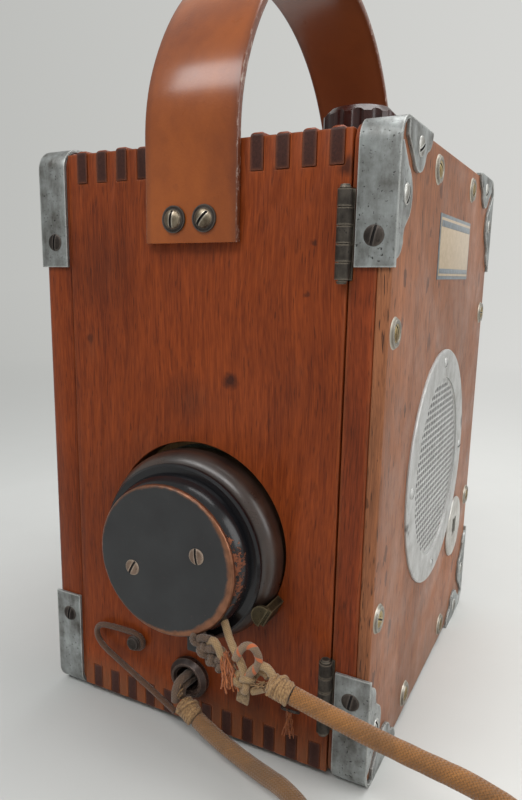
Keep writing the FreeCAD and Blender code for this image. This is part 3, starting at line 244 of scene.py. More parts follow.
# %% Wood grain
brown, dark_brown = (0.5, 0.3, 0.2, 1.0), (0.2, 0.1, 0.05, 1.0)
grain, given, result = effect(
    "wood_grain", {"Place": None, "Light": brown, "Dark": dark_brown, "Pores": 0.5},
    {"Color": "Color", "Height": "Float"},
)
wander = shaken(given["Place"], 16.0, 1.0, 0.006)
long = stretch(wander, (1, 1, 0.045))
fibres = noise(long, 620.0, 5.0, 0.7)
tone = times(noise(long, 90.0, 2.0), 0.16)
for part, weight in (
    (fibres, 0.3), (noise(stretch(wander, (1, 1, 0.05)), 2100.0, 2.0, 0.6), 0.34),
    (noise(stretch(given["Place"], (1, 1, 0.5)), 22.0, 3.0, 0.6), 0.2),
):
    tone = plus(tone, times(part, weight))
pores = span(noise(stretch(wander, (1, 1, 0.1)), 1500.0, 1.0), 0.62, 0.72)
wood = mix(span(tone, 0.36, 0.62), given["Dark"], given["Light"])
pore_tone = mix(0.6, given["Dark"], (0.01, 0.005, 0.004, 1))
wood = mix(times(pores, given["Pores"]), wood, pore_tone)
give(result, Color=wood, Height=maths("SUBTRACT", fibres, pores))
print("grain nodes", len(grain.nodes))

# %% [markdown]
# Handling rubs the finish off edges first. The Bevel node looks at how the surface turns within a
# couple of millimetres, so comparing its normal with the true one finds every edge. Noise makes
# the worn band ragged.

# %% Rubbed edges
rubbed, given, result = effect(
    "rubbed_edges", {"Place": None, "Width": 0.002, "Amount": 0.5}, {"Mask": "Float"}
)
eased = add(rubbed, "Bevel", {"Radius": given["Width"]}, samples=5)[0]
agree = vectors("DOT_PRODUCT", eased, add(rubbed, "NewGeometry")["Normal"], "Value")
ragged = noise(given["Place"], 330.0, 4.0, 0.65)
tall = plus(plus(span(agree, 0.998, 0.86), ragged), given["Amount"])
give(result, Mask=span(tall, 1.12, 1.5))

# %% [markdown]
# Metal that has been carried around for a lifetime is never one colour: it has clouds of
# oxide, a few deep stains and pin-prick pits. One group makes all three from its two colours.

# %% Tarnish
light_grey, dark_grey = (0.6, 0.6, 0.6, 1.0), (0.2, 0.2, 0.2, 1.0)
tarnish, given, result = effect(
    "tarnish",
    {
        "Place": None, "Clean": light_grey, "Stain": dark_grey, "Amount": 0.5, "Pitting": 0.5,
        "Polish": 0.35,
    },
    {"Color": "Color", "Roughness": "Float", "Height": "Float"},
)
smears = noise(stretch(given["Place"], (1, 1, 0.35)), 240.0, 4.0, 0.6)
cover = plus(times(noise(given["Place"], 85.0, 5.0, 0.65), 0.6), times(smears, 0.4))
cover = span(plus(cover, times(given["Amount"], 0.35)), 0.5, 0.82)
pits = times(span(noise(given["Place"], 900.0, 2.0, 0.6), 0.64, 0.72), given["Pitting"])
metal = mix(cover, given["Clean"], given["Stain"])
metal = mix(pits, metal, mix(0.75, given["Stain"], (0.01, 0.01, 0.01, 1)))
sheen = plus(plus(given["Polish"], times(cover, 0.25)), times(pits, 0.2))
give(result, Color=metal, Roughness=sheen, Height=maths("SUBTRACT", smears, pits))

# %% [markdown]
# Cord covers are braided: two sets of yarns wind around it in opposite ways and pass over and
# under each other. The sleeves below carry an attribute, lay, with each vertex's direction around
# the cord and its distance along it. From these, two slanted counts give each yarn a number and a
# rounded height, and the parity of their sum says which set is on top.

# %% Braid
braid, given, result = effect(
    "braid", {"Yarns": 16.0, "Girth": 0.021, "Light": brown, "Dark": dark_brown},
    {"Color": "Color", "Height": "Float", "Turn": "Float", "Along": "Float"},
)
lay = add(braid, "Attribute", attribute_name="lay")["Vector"]
turn = times(maths("ARCTAN2", part_of(lay, 1), part_of(lay, 0)), 0.5 / math.pi)
along = part_of(lay, 2)
around_yarns = times(turn, given["Yarns"])
along_yarns = times(maths("DIVIDE", along, given["Girth"]), given["Yarns"])
counts = plus(around_yarns, along_yarns), maths("SUBTRACT", around_yarns, along_yarns)
numbers = [maths("FLOOR", count) for count in counts]
rising, falling = (maths("SINE", times(maths("FRACT", count), math.pi)) for count in counts)
over = maths("FLOORED_MODULO", plus(*numbers), 2.0)
crown = maths("POWER", joined("Mix", {0: over, 2: rising, 3: falling}), 0.6)
yarn_tone = joined("TexWhiteNoise", {"W": numbers[0]}, noise_dimensions="1D")
# Each yarn is painted darker where it dips between its neighbours: painted shade in the grooves.
crown_shade = times(crown, span(yarn_tone, 0, 1, 0.75, 1.0))
give(result, Color=mix(crown_shade, given["Dark"], given["Light"]), Height=crown, Turn=turn, Along=along)

# %% [markdown]
# Old boards and enamel carry knocks: small dark dents scattered over them, no two alike. A
# Voronoi texture puts one point in each cell, and keeping only some cells and breaking their
# outline with noise leaves a few irregular marks.

# %% Knocks
knocks, given, result = effect(
    "knocks", {"Place": None, "Spread": 60.0, "Size": 0.16, "Share": 0.3}, {"Mask": "Float"}
)
place = shaken(given["Place"], 420.0, 2.0, 0.003)
dents = add(knocks, "TexVoronoi", {"Vector": place, "Scale": given["Spread"]})
near = maths("LESS_THAN", dents["Distance"], given["Size"])
chosen = maths("LESS_THAN", part_of(dents["Color"], 0), given["Share"])
give(result, Mask=times(near, chosen))

# %% [markdown]
# A knot, a burn, a patch of grime or a painted shadow sits at one place, so the last shared effect
# is a spot with a centre and a size. Two helpers lay such spots and rubbed edges over a finish's
# colour.

# %% Spots of grime and painted shadow
grime_and_shadow_spot, given, result = effect(
    "grime_and_shadow_spot", {"Place": None, "Centre": None, "Size": 0.003}, {"Mask": "Float"}
)
ragged_by = 0.004
place = vectors("ADD", shaken(given["Place"], 260.0, 3.0, ragged_by), (-ragged_by / 2,) * 3)
far = vectors("DISTANCE", place, given["Centre"], "Value")
give(result, Mask=span(maths("DIVIDE", far, given["Size"]), 1.0, 0.35))
print("shared effects", [g.name for g in bpy.data.node_groups])


def grime_and_shade_spots(tree, colour, place, marks, tone):
    """A colour with spots of grime and painted shadow on it, as marks of (centre in millimetres,
    size, weight).
    """
    for centre, size, weight in marks:
        mask = use(tree, grime_and_shadow_spot, Place=place, Centre=spot(*centre), Size=size * MM)[0]
        colour = laid(colour, mask, weight, tone)
    return colour


def rubbed_off(tree, colour, place, width, amount, share, tone):
    """A colour worn through to another along the edges."""
    mask = use(tree, rubbed, Place=place, Width=width, Amount=amount)[0]
    return laid(colour, mask, share, tone)


# %% [markdown]
# ### Wood
#
# The case is mahogany under worn varnish: red-brown, fine straight grain, darker where hands have
# left grime, and with painted shadows where the cords hang beside it. Across a board's ends the cut
# fibres drink the stain and turn nearly black-brown, which is what makes the finger joints stand
# out.
# The door has lost most of its varnish and has gone paler and greyer.


# %% Timber
def timber(
    name, light, dark, rub, lying=False, pores=0.5, rubbing=0.2, rough=0.4, marks=(), share=0.25,
    wax=0.2,
):
    """Wood with its grain upright, or lying from side to side."""
    tree, shader, place = finish(name, Specular_IOR_Level=wax)
    turn = (0, math.pi / 2, 0) if lying else (0, 0, 0)
    upright = stretch(place, turn=turn)
    fibre = use(tree, grain, Place=upright, Light=paint(*light), Dark=paint(*dark), Pores=pores)
    normal = stretch(add(tree, "TexCoord")["Normal"], turn=turn)
    cut_end = span(maths("ABSOLUTE", part_of(normal, 2)), 0.6, 0.85)
    end_tone = mix(noise(place, 1100.0, 2.0), paint(38, 19, 16), paint(80, 46, 37))
    clouds = span(noise(place, 11.0, 3.0), 0.35, 0.65, 0.82, 1.08)
    colour = mix(1.0, mix(cut_end, fibre["Color"], end_tone), clouds, "MULTIPLY")
    long_dents = stretch(upright, (1, 1, 0.5))
    dents = use(tree, knocks, Place=long_dents, Spread=85.0, Share=share)[0]
    colour = laid(colour, dents, 0.6, (52, 24, 17))
    # Dark spots: knots and grime, and on the left side also painted shadows of the cords.
    colour = grime_and_shade_spots(tree, colour, place, marks, (44, 22, 17))
    soil = noise(stretch(place, (1, 1, 0.6)), 55.0, 4.0, 0.65)
    foot = span(part_of(place, 2), case_corner.z + 0.021, case_corner.z + 0.004)
    dusty = times(span(plus(soil, foot), 0.6, 1.5), maths("SUBTRACT", 1.0, cut_end))
    colour = laid(colour, dusty, 0.55, (124, 84, 58))
    colour = rubbed_off(tree, colour, place, 0.002, rubbing, 0.7, rub)
    gloss = span(noise(place, 60.0, 4.0), 0.3, 0.7, rough - 0.08, rough + 0.12)
    give(shader, Base_Color=colour, Roughness=gloss, Normal=bump(fibre["Height"], 0.05, 0.6))


# Dark spots on the left side: knots and grime, and painted shadows of the cords that hang near its
# foot.
side_marks_and_shadows = [((0, y, z), size, weight) for y, z, size, weight in (
    (42.7, 146.7, 3.6, 0.85), (12, 195.6, 1.3, 0.7), (14.2, 178.3, 1.2, 0.6), (24.2, 69.5, 2, 0.8),
    (108.7, 159.1, 2.4, 0.6), (33, 19, 10, 0.5), (62, 138, 12, 0.3), (55, 197, 12, 0.3),
    (104, 188, 22, 0.25), (1.5, 219, 4.5, 0.8), (18, 24, 8, 0.5), (52, 11, 9, 0.4),
    (62, 16, 8, 0.45), (97, 22, 7, 0.35),
)]
mahogany = (150, 69, 27), (88, 33, 12)
timber("case_wood", *mahogany, (150, 82, 44), marks=side_marks_and_shadows, rubbing=0.15, share=0.1)
timber("case_wood_lying", *mahogany, (120, 70, 48), lying=True, rubbing=0.0)
timber(
    "door_wood", (164, 104, 68), (98, 60, 40), (172, 116, 78), pores=1.0, rough=0.44, share=0.8,
    wax=0.3,
)
timber("door_stile_wood", (146, 66, 30), (80, 32, 14), (150, 92, 57), rubbing=0.3)
timber("inner_wood", (196, 160, 116), (150, 112, 74), (200, 170, 130), rough=0.6, share=0.1)
print("woods", list(finishes))

# %% [markdown]
# ### Leather
#
# The strap is bridle leather: waxed, tan, glossy where hands polish it, with cut edges that stay
# dull, pale where they are scuffed and with painted glints of reflected light along them. Its flesh
# side, which faces into the arch, has less dye. Leather's pebble is cells of a few tenths of a
# millimetre; the wax sits over it as a thin coat.

# %% Bridle leather
tree, shader, place = finish(
    "strap_leather", Specular_IOR_Level=0.05, Coat_Weight=1.0, Coat_Roughness=0.2
)
dye = noise(stretch(place, (1, 1, 0.6)), 38.0, 5.0, 0.62)
hide = mix(span(dye, 0.3, 0.7), paint(120, 56, 16), paint(156, 80, 24))
spots = span(noise(place, 210.0, 4.0, 0.7), 0.60, 0.72)
hide = laid(hide, spots, 0.18, (70, 34, 20))
strap_low, strap_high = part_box("handle_strap")
strap_middle = (strap_low + strap_high) / 2
arch_foot = (strap_middle.x, strap_middle.y, strap_low.z)
from_foot = vectors("SUBTRACT", place, arch_foot)
outward = vectors("DOT_PRODUCT", add(tree, "TexCoord")["Normal"], from_foot, "Value")
hide = laid(hide, span(outward, 0.004, -0.004), 0.7, (128, 80, 54))
off_middle = maths("ABSOLUTE", maths("SUBTRACT", part_of(place, 1), strap_middle.y))
half_width = (strap_high.y - strap_low.y) / 2
near_edge = span(off_middle, half_width - 0.0032, half_width - 0.0008)
hide = laid(hide, near_edge, 0.4, (84, 42, 26))
cut_edge = span(off_middle, half_width - 0.0006, half_width - 0.0002)
# Pale flecks along the cut edges: scuffed raw leather, and painted glints of light.
scuffs_and_glints = span(noise(stretch(place, (1, 1, 0.5)), 620.0, 4.0, 0.7), 0.54, 0.7)
hide = mix(cut_edge, hide, mix(scuffs_and_glints, paint(104, 56, 34), paint(178, 158, 146)))
polish = span(noise(place, 120.0, 4.0, 0.6), 0.3, 0.7, 0.27, 0.45)
cells = joined("TexVoronoi", {"Vector": place, "Scale": 1100.0}, "Distance")
pebble = bump(plus(cells, noise(place, 420.0, 3.0)), 0.06, 0.55)
give(shader, Base_Color=hide, Roughness=plus(polish, times(cut_edge, 0.3)), Normal=pebble)

# %% [markdown]
# ### Metals
#
# The guards are zinc-coated steel, gone blue-grey with dark stains; the grille and the lock plate
# are plain aluminium and nickel. Only the colours, the amount of tarnish and the polish differ,
# so one loop makes them all from the tarnish group, with rubbed edges where the bright metal
# shows again.


# %% Metals
def metal_finish(
    name, clean, stain, amount, pitting, shine, metallic, rub=None, depth=0.03, marks=()
):
    tree, shader, place = finish(name, Metallic=metallic)
    coat = use(
        tree, tarnish, Place=place, Clean=paint(*clean), Stain=paint(*stain), Amount=amount,
        Pitting=pitting, Polish=shine,
    )
    colour = coat["Color"]
    if rub:
        colour = rubbed_off(tree, colour, place, 0.0012, 0.25, 0.85, rub)
    colour = grime_and_shade_spots(tree, colour, place, marks, (74, 68, 62))
    normal = bump(coat["Height"], depth, 0.6)
    give(shader, Base_Color=colour, Roughness=coat["Roughness"], Normal=normal)


grille_marks = (
    ((138.5, -15.6, 113.0), 4.2, 0.75), ((38.6, -15.6, 88.0), 2.2, 0.75),
    ((40.4, -15.6, 85.5), 1.8, 0.75),
)
for metal in (
    ("guard_metal", (166, 171, 170), (74, 70, 64), 0.46, 1.0, 0.34, 0.5, (206, 208, 204), 0.08),
    ("dark_screws", (92, 84, 78), (38, 32, 29), 0.7, 0.6, 0.38, 0.75, (112, 104, 98)),
    ("pale_screws", (178, 178, 172), (96, 90, 82), 0.5, 0.6, 0.34, 0.8, (224, 224, 220)),
    ("strap_steel", (184, 170, 146), (74, 62, 50), 0.5, 0.5, 0.24, 0.95, (214, 204, 188)),
    ("plate_steel", (150, 128, 112), (82, 62, 52), 0.5, 0.5, 0.3, 0.85, (190, 172, 156)),
    # Near-black for screw slots: dirt, and painted shade down in the recess.
    ("slot_shade_and_dirt", (34, 28, 25), (16, 13, 12), 0.5, 0.5, 0.7, 0.0),
    ("brass_screws", (182, 160, 110), (92, 74, 48), 0.6, 0.6, 0.32, 0.9, (214, 196, 150)),
    ("steel", (186, 184, 178), (104, 98, 90), 0.35, 0.5, 0.3, 0.9, (220, 220, 216)),
    ("hinge_brass", (104, 97, 88), (46, 41, 37), 0.7, 0.7, 0.4, 0.7, (138, 128, 114)),
    ("lug_brass", (108, 94, 64), (38, 33, 25), 0.65, 0.9, 0.3, 0.7, (126, 114, 88)),
    (
        "grille_aluminium", (182, 182, 180), (136, 133, 128), 0.15, 0.4, 0.4, 0.45,
        (208, 208, 206), 0.03, grille_marks,
    ),
    ("cup_steel", (150, 146, 136), (92, 84, 74), 0.45, 0.5, 0.3, 0.85, (196, 188, 174)),
    ("lock_steel", (198, 196, 190), (138, 130, 120), 0.25, 0.5, 0.32, 0.7, (226, 225, 220)),
    ("can_metal", (178, 178, 174), (120, 116, 108), 0.3, 0.5, 0.36, 0.8, (210, 210, 206)),
    ("magnet_steel", (88, 90, 94), (50, 40, 36), 0.5, 0.5, 0.36, 0.8),
    ("ferrule_black", (78, 62, 56), (34, 26, 24), 0.4, 0.4, 0.2, 0.4, (134, 112, 98)),
):
    metal_finish(*metal)
print("metals", len(finishes))

# %% [markdown]
# ### Enamel, rubber and bakelite
#
# The receiver has three blacks. Its ear cap is hard rubber, which light and skin have turned
# brown with a broad soft shine. The cup behind it is black enamel on copper, chipped towards the
# door, where the receiver has been set down. Its back plate is matte charcoal, and its rim has
# worn through to the copper all round. The distance from the receiver's own axis finds that rim.

# %% The worn back plate
plate_low, plate_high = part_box("back_cap")
plate_middle = (plate_low + plate_high) / 2
plate_radius = (plate_high.z - plate_low.z) / 2
tree, shader, place = finish("worn_disc")
axis_point = (0, plate_middle.y, plate_middle.z)
from_axis = vectors("DISTANCE", stretch(place, (0, 1, 1)), axis_point, "Value")
out = plus(from_axis, times(noise(place, 240.0, 4.0, 0.7), 0.0026))
from_plate = vectors("SUBTRACT", place, tuple(plate_middle))
corner = vectors("DOT_PRODUCT", from_plate, (0, -0.8, -0.6), "Value")
wear = span(corner, 0.0, 0.03, 0.0, 0.0024)
rim = span(plus(out, wear), plate_radius + 0.0001, plate_radius + 0.0012)
flecks = span(noise(place, 520.0, 3.0, 0.75), 0.66, 0.72)
coat = mix(span(noise(place, 70.0, 4.0), 0.3, 0.7), paint(33, 33, 34), paint(44, 45, 46))
coat = laid(coat, flecks, 0.5, (84, 62, 52))
bare = mix(noise(place, 300.0, 3.0), paint(92, 58, 42), paint(166, 116, 88))
give(
    shader, Base_Color=mix(rim, coat, bare), Metallic=times(rim, 0.8),
    Roughness=span(rim, 0, 1, 0.55, 0.34), Normal=bump(noise(place, 1500.0, 3.0, 0.7), 0.03, 0.5),
)

# %% Black enamel, chipped to the copper
tree, shader, place = finish(
    "black_enamel", Specular_IOR_Level=0.3, Coat_Weight=0.25, Coat_Roughness=0.12
)
below_plate = span(part_of(place, 0), plate_low.x + 0.009, plate_low.x + 0.0045)
worst_spot = (plate_low.x + 0.004, plate_middle.y - 0.029, plate_middle.z + 0.001)
close_by = span(vectors("DISTANCE", place, worst_spot, "Value"), 0.022, 0.007, 0.0, 0.24)
chips = plus(noise(place, 520.0, 5.0, 0.75), times(close_by, below_plate))
chipped = span(chips, 0.70, 0.73)
enamel = mix(noise(place, 55.0), paint(12, 12, 15), paint(24, 24, 27))
give(
    shader, Base_Color=mix(chipped, enamel, paint(128, 74, 48)), Metallic=times(chipped, 0.6),
    Roughness=span(chipped, 0, 1, 0.24, 0.5), Normal=bump(maths("SUBTRACT", 1.0, chipped), 0.06),
)

# %% Rubber with turning marks, and moulded blacks
tree, shader, place = finish(
    "hard_rubber", Specular_IOR_Level=0.6, Coat_Weight=0.3, Coat_Roughness=0.2
)
bloom = span(noise(place, 42.0, 5.0, 0.65), 0.32, 0.68)
turned = maths("SINE", times(part_of(place, 0), 21000.0))
give(
    shader, Base_Color=mix(bloom, paint(32, 23, 20), paint(66, 49, 40)),
    Roughness=span(noise(place, 130.0, 4.0), 0.3, 0.7, 0.26, 0.44),
    Normal=bump(turned, 0.004, 0.35),
)
for name, low, high, dull in (
    ("bakelite", (36, 14, 11), (62, 26, 20), 0.24), ("ebonite", (16, 15, 15), (32, 29, 28), 0.36),
):
    tree, shader, place = finish(
        name, Specular_IOR_Level=0.35, Coat_Weight=0.12, Coat_Roughness=0.12
    )
    swirl = noise(stretch(place, (1, 1, 2.2)), 70.0, 5.0, 0.6)
    colour = mix(span(swirl, 0.35, 0.65), paint(*low), paint(*high))
    colour = rubbed_off(tree, colour, place, 0.0012, 0.2, 0.25, (98, 70, 60))
    dust = span(noise(place, 240.0, 4.0), 0.4, 0.7, dull, dull + 0.2)
    give(shader, Base_Color=colour, Roughness=dust, Normal=bump(swirl, 0.02, 0.3))

# %% [markdown]
# ### Braids, thread, felt and paper
#
# The receiver cord's cotton braid is tan, and greyer where it lies on the floor. The stay cord is
# thin and dark, and the leads are beige, one with a tracer yarn of orange. All are the same braid
# with other colours, yarn counts and girths; a soft sheen stands for the fuzz of loose fibres.


# %% Braided covers
def braided(name, light, dark, yarns, radius, grime, tracer=None, depth=0.25, near_floor_darkening=0.0):
    """A woven cover; where it lies low, near the floor, it may be darker and greyer."""
    tree, shader, place = finish(name, Roughness=0.85, Sheen_Weight=0.25, Sheen_Roughness=0.5)
    girth = 2 * math.pi * radius * MM
    cover = use(tree, braid, Yarns=yarns, Girth=girth, Light=paint(*light), Dark=paint(*dark))
    soil = span(noise(place, 75.0, 4.0, 0.65), 0.42, 0.66)
    colour = laid(cover["Color"], soil, 0.55, grime)
    # Darker and greyer within a few centimetres of the floor.
    colour = laid(colour, span(part_of(place, 2), 0.03, 0.012), near_floor_darkening, (104, 84, 62))
    if tracer:
        lap = maths("FRACT", plus(cover["Turn"], times(cover["Along"], 190.0)))
        colour = laid(colour, maths("LESS_THAN", lap, 0.24), 1.0, tracer)
    height = plus(cover["Height"], times(noise(place, 2200.0, 2.0, 0.7), 0.5))
    give(shader, Base_Color=colour, Normal=bump(height, depth, 0.8))


cord_radius = 3.35
for cover in (
    (
        "cord_braid", (166, 112, 54), (78, 46, 18), 18.0, cord_radius, (96, 66, 38), None, 0.25,
        0.45,
    ),
    ("stay_braid", (104, 66, 38), (44, 26, 14), 10.0, 1.25, (58, 38, 24)),
    ("lead_braid", (178, 148, 106), (104, 76, 48), 10.0, 1.5, (124, 96, 66), None, 0.12),
    ("soiled_braid", (118, 94, 74), (58, 42, 32), 10.0, 1.75, (66, 52, 44), None, 0.15),
    ("striped_braid", (156, 130, 102), (88, 64, 48), 10.0, 1.4, (92, 72, 56), (186, 98, 52), 0.12),
    ("wire_cover", (70, 86, 62), (34, 42, 32), 8.0, 0.9, (44, 46, 38), None, 0.1),
):
    braided(*cover)


# %% Thread, felt, card and paper
def fibrous(name, light, dark, scale, squash, depth, dull=0.85):
    shader, place = finish(name, Roughness=dull, Sheen_Weight=0.2)[1:]
    strands = noise(stretch(place, squash), scale, 4.0, 0.7)
    tone = mix(span(strands, 0.35, 0.65), paint(*dark), paint(*light))
    tone = laid(tone, span(noise(place, 90.0, 4.0), 0.4, 0.7), 0.4, dark)
    give(shader, Base_Color=tone, Normal=bump(strands, depth))


for stuff in (
    ("thread", (178, 142, 96), (104, 74, 46), 1500.0, (1, 1, 0.5), 0.12),
    ("grey_thread", (122, 100, 86), (62, 46, 40), 1500.0, (1, 1, 0.5), 0.12),
    ("orange_thread", (190, 112, 60), (124, 66, 34), 1500.0, (1, 1, 0.4), 0.1),
    ("tape", (152, 128, 94), (96, 74, 52), 1300.0, (1, 1, 1), 0.1),
    ("felt", (92, 98, 78), (54, 58, 46), 1100.0, (1, 1, 1), 0.3, 0.95),
    ("coil_paper", (178, 128, 66), (112, 70, 34), 500.0, (1, 0.1, 0.1), 0.08, 0.5),
    ("blank_card", (180, 160, 132), (164, 144, 116), 420.0, (1, 1, 1), 0.02, 0.6),
    ("card_band", (112, 122, 128), (84, 90, 92), 420.0, (1, 1, 1), 0.02, 0.6),
    ("cell_card", (168, 128, 84), (120, 84, 52), 330.0, (1, 1, 0.2), 0.06, 0.65),
):
    fibrous(*stuff)
print("finishes", len(finishes))

# %% [markdown]
# ## Floor, backdrop and light
#
# The set stands on a pale seamless table before a pale wall, both painted a little darker to the
# left as painted shade. A wide floor takes the set's shadow nearby, and farther out both floor and
# sky become one plain pale colour, but only for the rays that come from the lens or from a gloss.
# The light on the set comes from a dimmer even sky and three large soft lamps.

# %% A backdrop colour that floor and sky share, with painted shade to the left
picture_right = (0.492, -0.870, 0.0)
backdrop, given, result = effect("seen_by_lens", {"Place": None}, {"Color": "Color"})
# Darker towards the left of the picture: painted shade across the wall and the far floor.
share = span(vectors("DOT_PRODUCT", given["Place"], picture_right, "Value"), -0.55, 0.45)
give(result, Color=mix(share, paint(180, 181, 178), paint(214, 214, 211)))


def seen_only(tree):
    """1 for rays from the lens, from a gloss or through glass, and otherwise 0."""
    rays = add(tree, "LightPath")
    glossy = maths("MAXIMUM", rays["Is Glossy Ray"], rays["Is Transmission Ray"])
    return maths("MAXIMUM", rays["Is Camera Ray"], glossy)


# %% Sky
sky = bpy.data.worlds.new("sky")
bpy.context.scene.world = sky
sky.use_nodes = True
tree = sky.node_tree
tree.nodes.clear()
wall_with_painted_shade = use(tree, backdrop, Place=add(tree, "TexCoord")["Generated"])[0]
pale = joined("Background", {"Color": wall_with_painted_shade})
glow = add(tree, "Background", {"Color": (0.97, 0.985, 1.0, 1.0), "Strength": 0.5})[0]
either = joined("MixShader", {0: seen_only(tree), 1: glow, 2: pale})
add(tree, "OutputWorld", {"Surface": either})

# %% Floor
floor_shape = bmesh.new()
bmesh.ops.create_circle(floor_shape, cap_ends=True, segments=96, radius=8.0)
floor_data = bpy.data.meshes.new("floor")
floor_shape.to_mesh(floor_data)
floor_shape.free()
show("floor", floor_data)
tree, shader, place = finish("floor_paint", Roughness=0.7, Specular_IOR_Level=0.25)
aside = vectors("DOT_PRODUCT", place, picture_right, "Value")
# The near floor is painted darker towards the left of the picture, as painted shade where less
# light falls.
cloth_with_painted_shade = mix(span(aside, -0.12, 0.2), paint(196, 197, 194), paint(216, 216, 212))
speckle = mix(noise(place, 30.0, 3.0), (0.96, 0.96, 0.96, 1), (1, 1, 1, 1))
give(shader, Base_Color=mix(1.0, cloth_with_painted_shade, speckle, "MULTIPLY"))
wall_with_painted_shade = use(tree, backdrop, Place=vectors("NORMALIZE", stretch(place, (1, 1, 0))))[0]
plain = joined("Emission", {"Color": wall_with_painted_shade})
far_off = span(vectors("LENGTH", place, out="Value"), 0.34, 1.3)
far_off = times(maths("POWER", far_off, 0.6), seen_only(tree))
lit = tree.nodes["Principled BSDF"].outputs[0]
both = joined("MixShader", {0: far_off, 1: lit, 2: plain})
give(tree.nodes["Material Output"].inputs, Surface=both)
floor_data.materials.append(finishes["floor_paint"])


# %% Soft lamps
def softbox(name, place, aim, size, power, along=(0, 0, 1)):
    """A rectangular lamp at one point, facing another, its long side along a direction."""
    light = bpy.data.lights.new(name, "AREA")
    light.shape = "RECTANGLE"
    light.size, light.size_y = size
    light.energy = power
    lamp = show(name, light)
    back = (Vector(place) - Vector(aim)).normalized()
    side = (Vector(along) - back * Vector(along).dot(back)).normalized()
    lamp.location = place
    lamp.rotation_euler = Matrix((side, back.cross(side), back)).transposed().to_euler()


softbox("ceiling_lamp", (0.3, -0.2, 1.3), (0, 0, 0.1), (0.8, 0.8), 9, (1, 0, 0))
softbox("door_lamp", (0.2, -1.3, 0.7), (0.05, 0, 0.12), (0.9, 0.9), 7)
softbox(
    "side_window", (-0.68, 0.1, 0.9), (-0.08, 0, 0.15), (1.1, 0.26), 5.5, (-0.21, -0.85, -0.09)
)
bpy.context.scene.view_settings.view_transform = "Standard"

# %% [markdown]
# ## Turning shapes into pieces
#
# Every new piece is modelled in place, around the origin of the frame, so that its object can stay
# unmoved. One helper makes the mesh object, smooths it up to an angle, gives it its finish, lets
# it ride on its body and, where it takes over from CAD nodes, hides them.


def dress(made, paint_name, body, *nodes):
    """Gives an object its finish and its body, and hides the CAD nodes that it takes over from."""
    made.data.materials.append(finishes[paint_name])
    if body:
        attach(made, body)
    if nodes:
        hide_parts(*nodes)
    return made


def piece(name, shape, paint_name, body, *nodes, smooth=35, outward=True):
    """Makes a named piece of a bmesh."""
    if outward:
        bmesh.ops.recalc_face_normals(shape, faces=shape.faces)
    data = bpy.data.meshes.new(name)
    shape.to_mesh(data)
    shape.free()
    data.shade_smooth()
    data.set_sharp_from_angle(angle=math.radians(smooth))
    return dress(show(name, data), paint_name, body, *nodes)


def of_kind(kind, geom):
    """The vertices, the edges or the faces of what an operator gives back."""
    return [part for part in geom if isinstance(part, kind)]


def turned_to(place, axis=(0, 0, 1), turn=0.0):
    """The matrix that puts a shape's origin at a place, its Z along an axis, turned by degrees."""
    facing = Vector(axis).to_track_quat("Z", "Y").to_matrix().to_4x4()
    return Matrix.Translation(place) @ facing @ Matrix.Rotation(math.radians(turn), 4, "Z")


# %% A box, a rounding and a turned shape
def add_box(shape, centre, size):
    """Adds a box around a centre, its size in millimetres, and gives its corners."""
    corners = bmesh.ops.create_cube(shape, size=1.0)["verts"]
    scaled = Matrix.Diagonal((*(Vector(size) * MM), 1))
    bmesh.ops.transform(shape, matrix=Matrix.Translation(centre) @ scaled, verts=corners)
    return corners


def soften(shape, geom, offset, segments, affect="EDGES"):
    """Rounds edges or corners by an offset in millimetres."""
    bmesh.ops.bevel(
        shape, geom=geom, offset=offset * MM, segments=segments, profile=0.5, affect=affect,
        material=-1,
    )


def lathe(shape, profile, matrix, steps=72):
    """Spins a profile of (radius, height) in millimetres around Z, then puts it in place."""
    corners = [shape.verts.new((r * MM, 0, h * MM)) for r, h in profile]
    lines = [shape.edges.new(pair) for pair in zip(corners, corners[1:])]
    before = set(shape.verts) - set(corners)
    bmesh.ops.spin(
        shape, geom=corners + lines, cent=(0, 0, 0), axis=(0, 0, 1), angle=2 * math.pi,
        steps=steps, use_merge=True,
    )
    made = [v for v in shape.verts if v not in before]
    bmesh.ops.remove_doubles(shape, verts=made, dist=1e-6)
    made = [v for v in shape.verts if v.is_valid and v not in before]
    bmesh.ops.transform(shape, matrix=matrix, verts=made)


# %% [markdown]
# ## The boards and guards
#
# Real boards and stampings have no knife edges. The CAD shape is right, so each gets a merged
# copy of it whose flat faces are joined again, and a Bevel modifier rounds every edge by a
# fraction of a millimetre. The rounding catches the light along each joint, which is most of what
# tells a board from a box.


# %% Rounded copies
def eased_copy(node, paint_name, body, width):
    """A CAD node's shape with rounded edges, in the node's place."""
    shape = bmesh.new()
    shape.from_mesh(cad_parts[node].data)
    bmesh.ops.remove_doubles(shape, verts=shape.verts, dist=2e-6)
    flat = math.radians(1.5)
    bmesh.ops.dissolve_limit(shape, angle_limit=flat, verts=shape.verts, edges=shape.edges)
    made = piece(node + "_eased", shape, paint_name, body, node, smooth=180, outward=False)
    easing = made.modifiers.new("easing", "BEVEL")
    easing.width = width * MM
    easing.segments = 2
    easing.limit_method = "ANGLE"
    easing.angle_limit = math.radians(32)
    easing.harden_normals = True


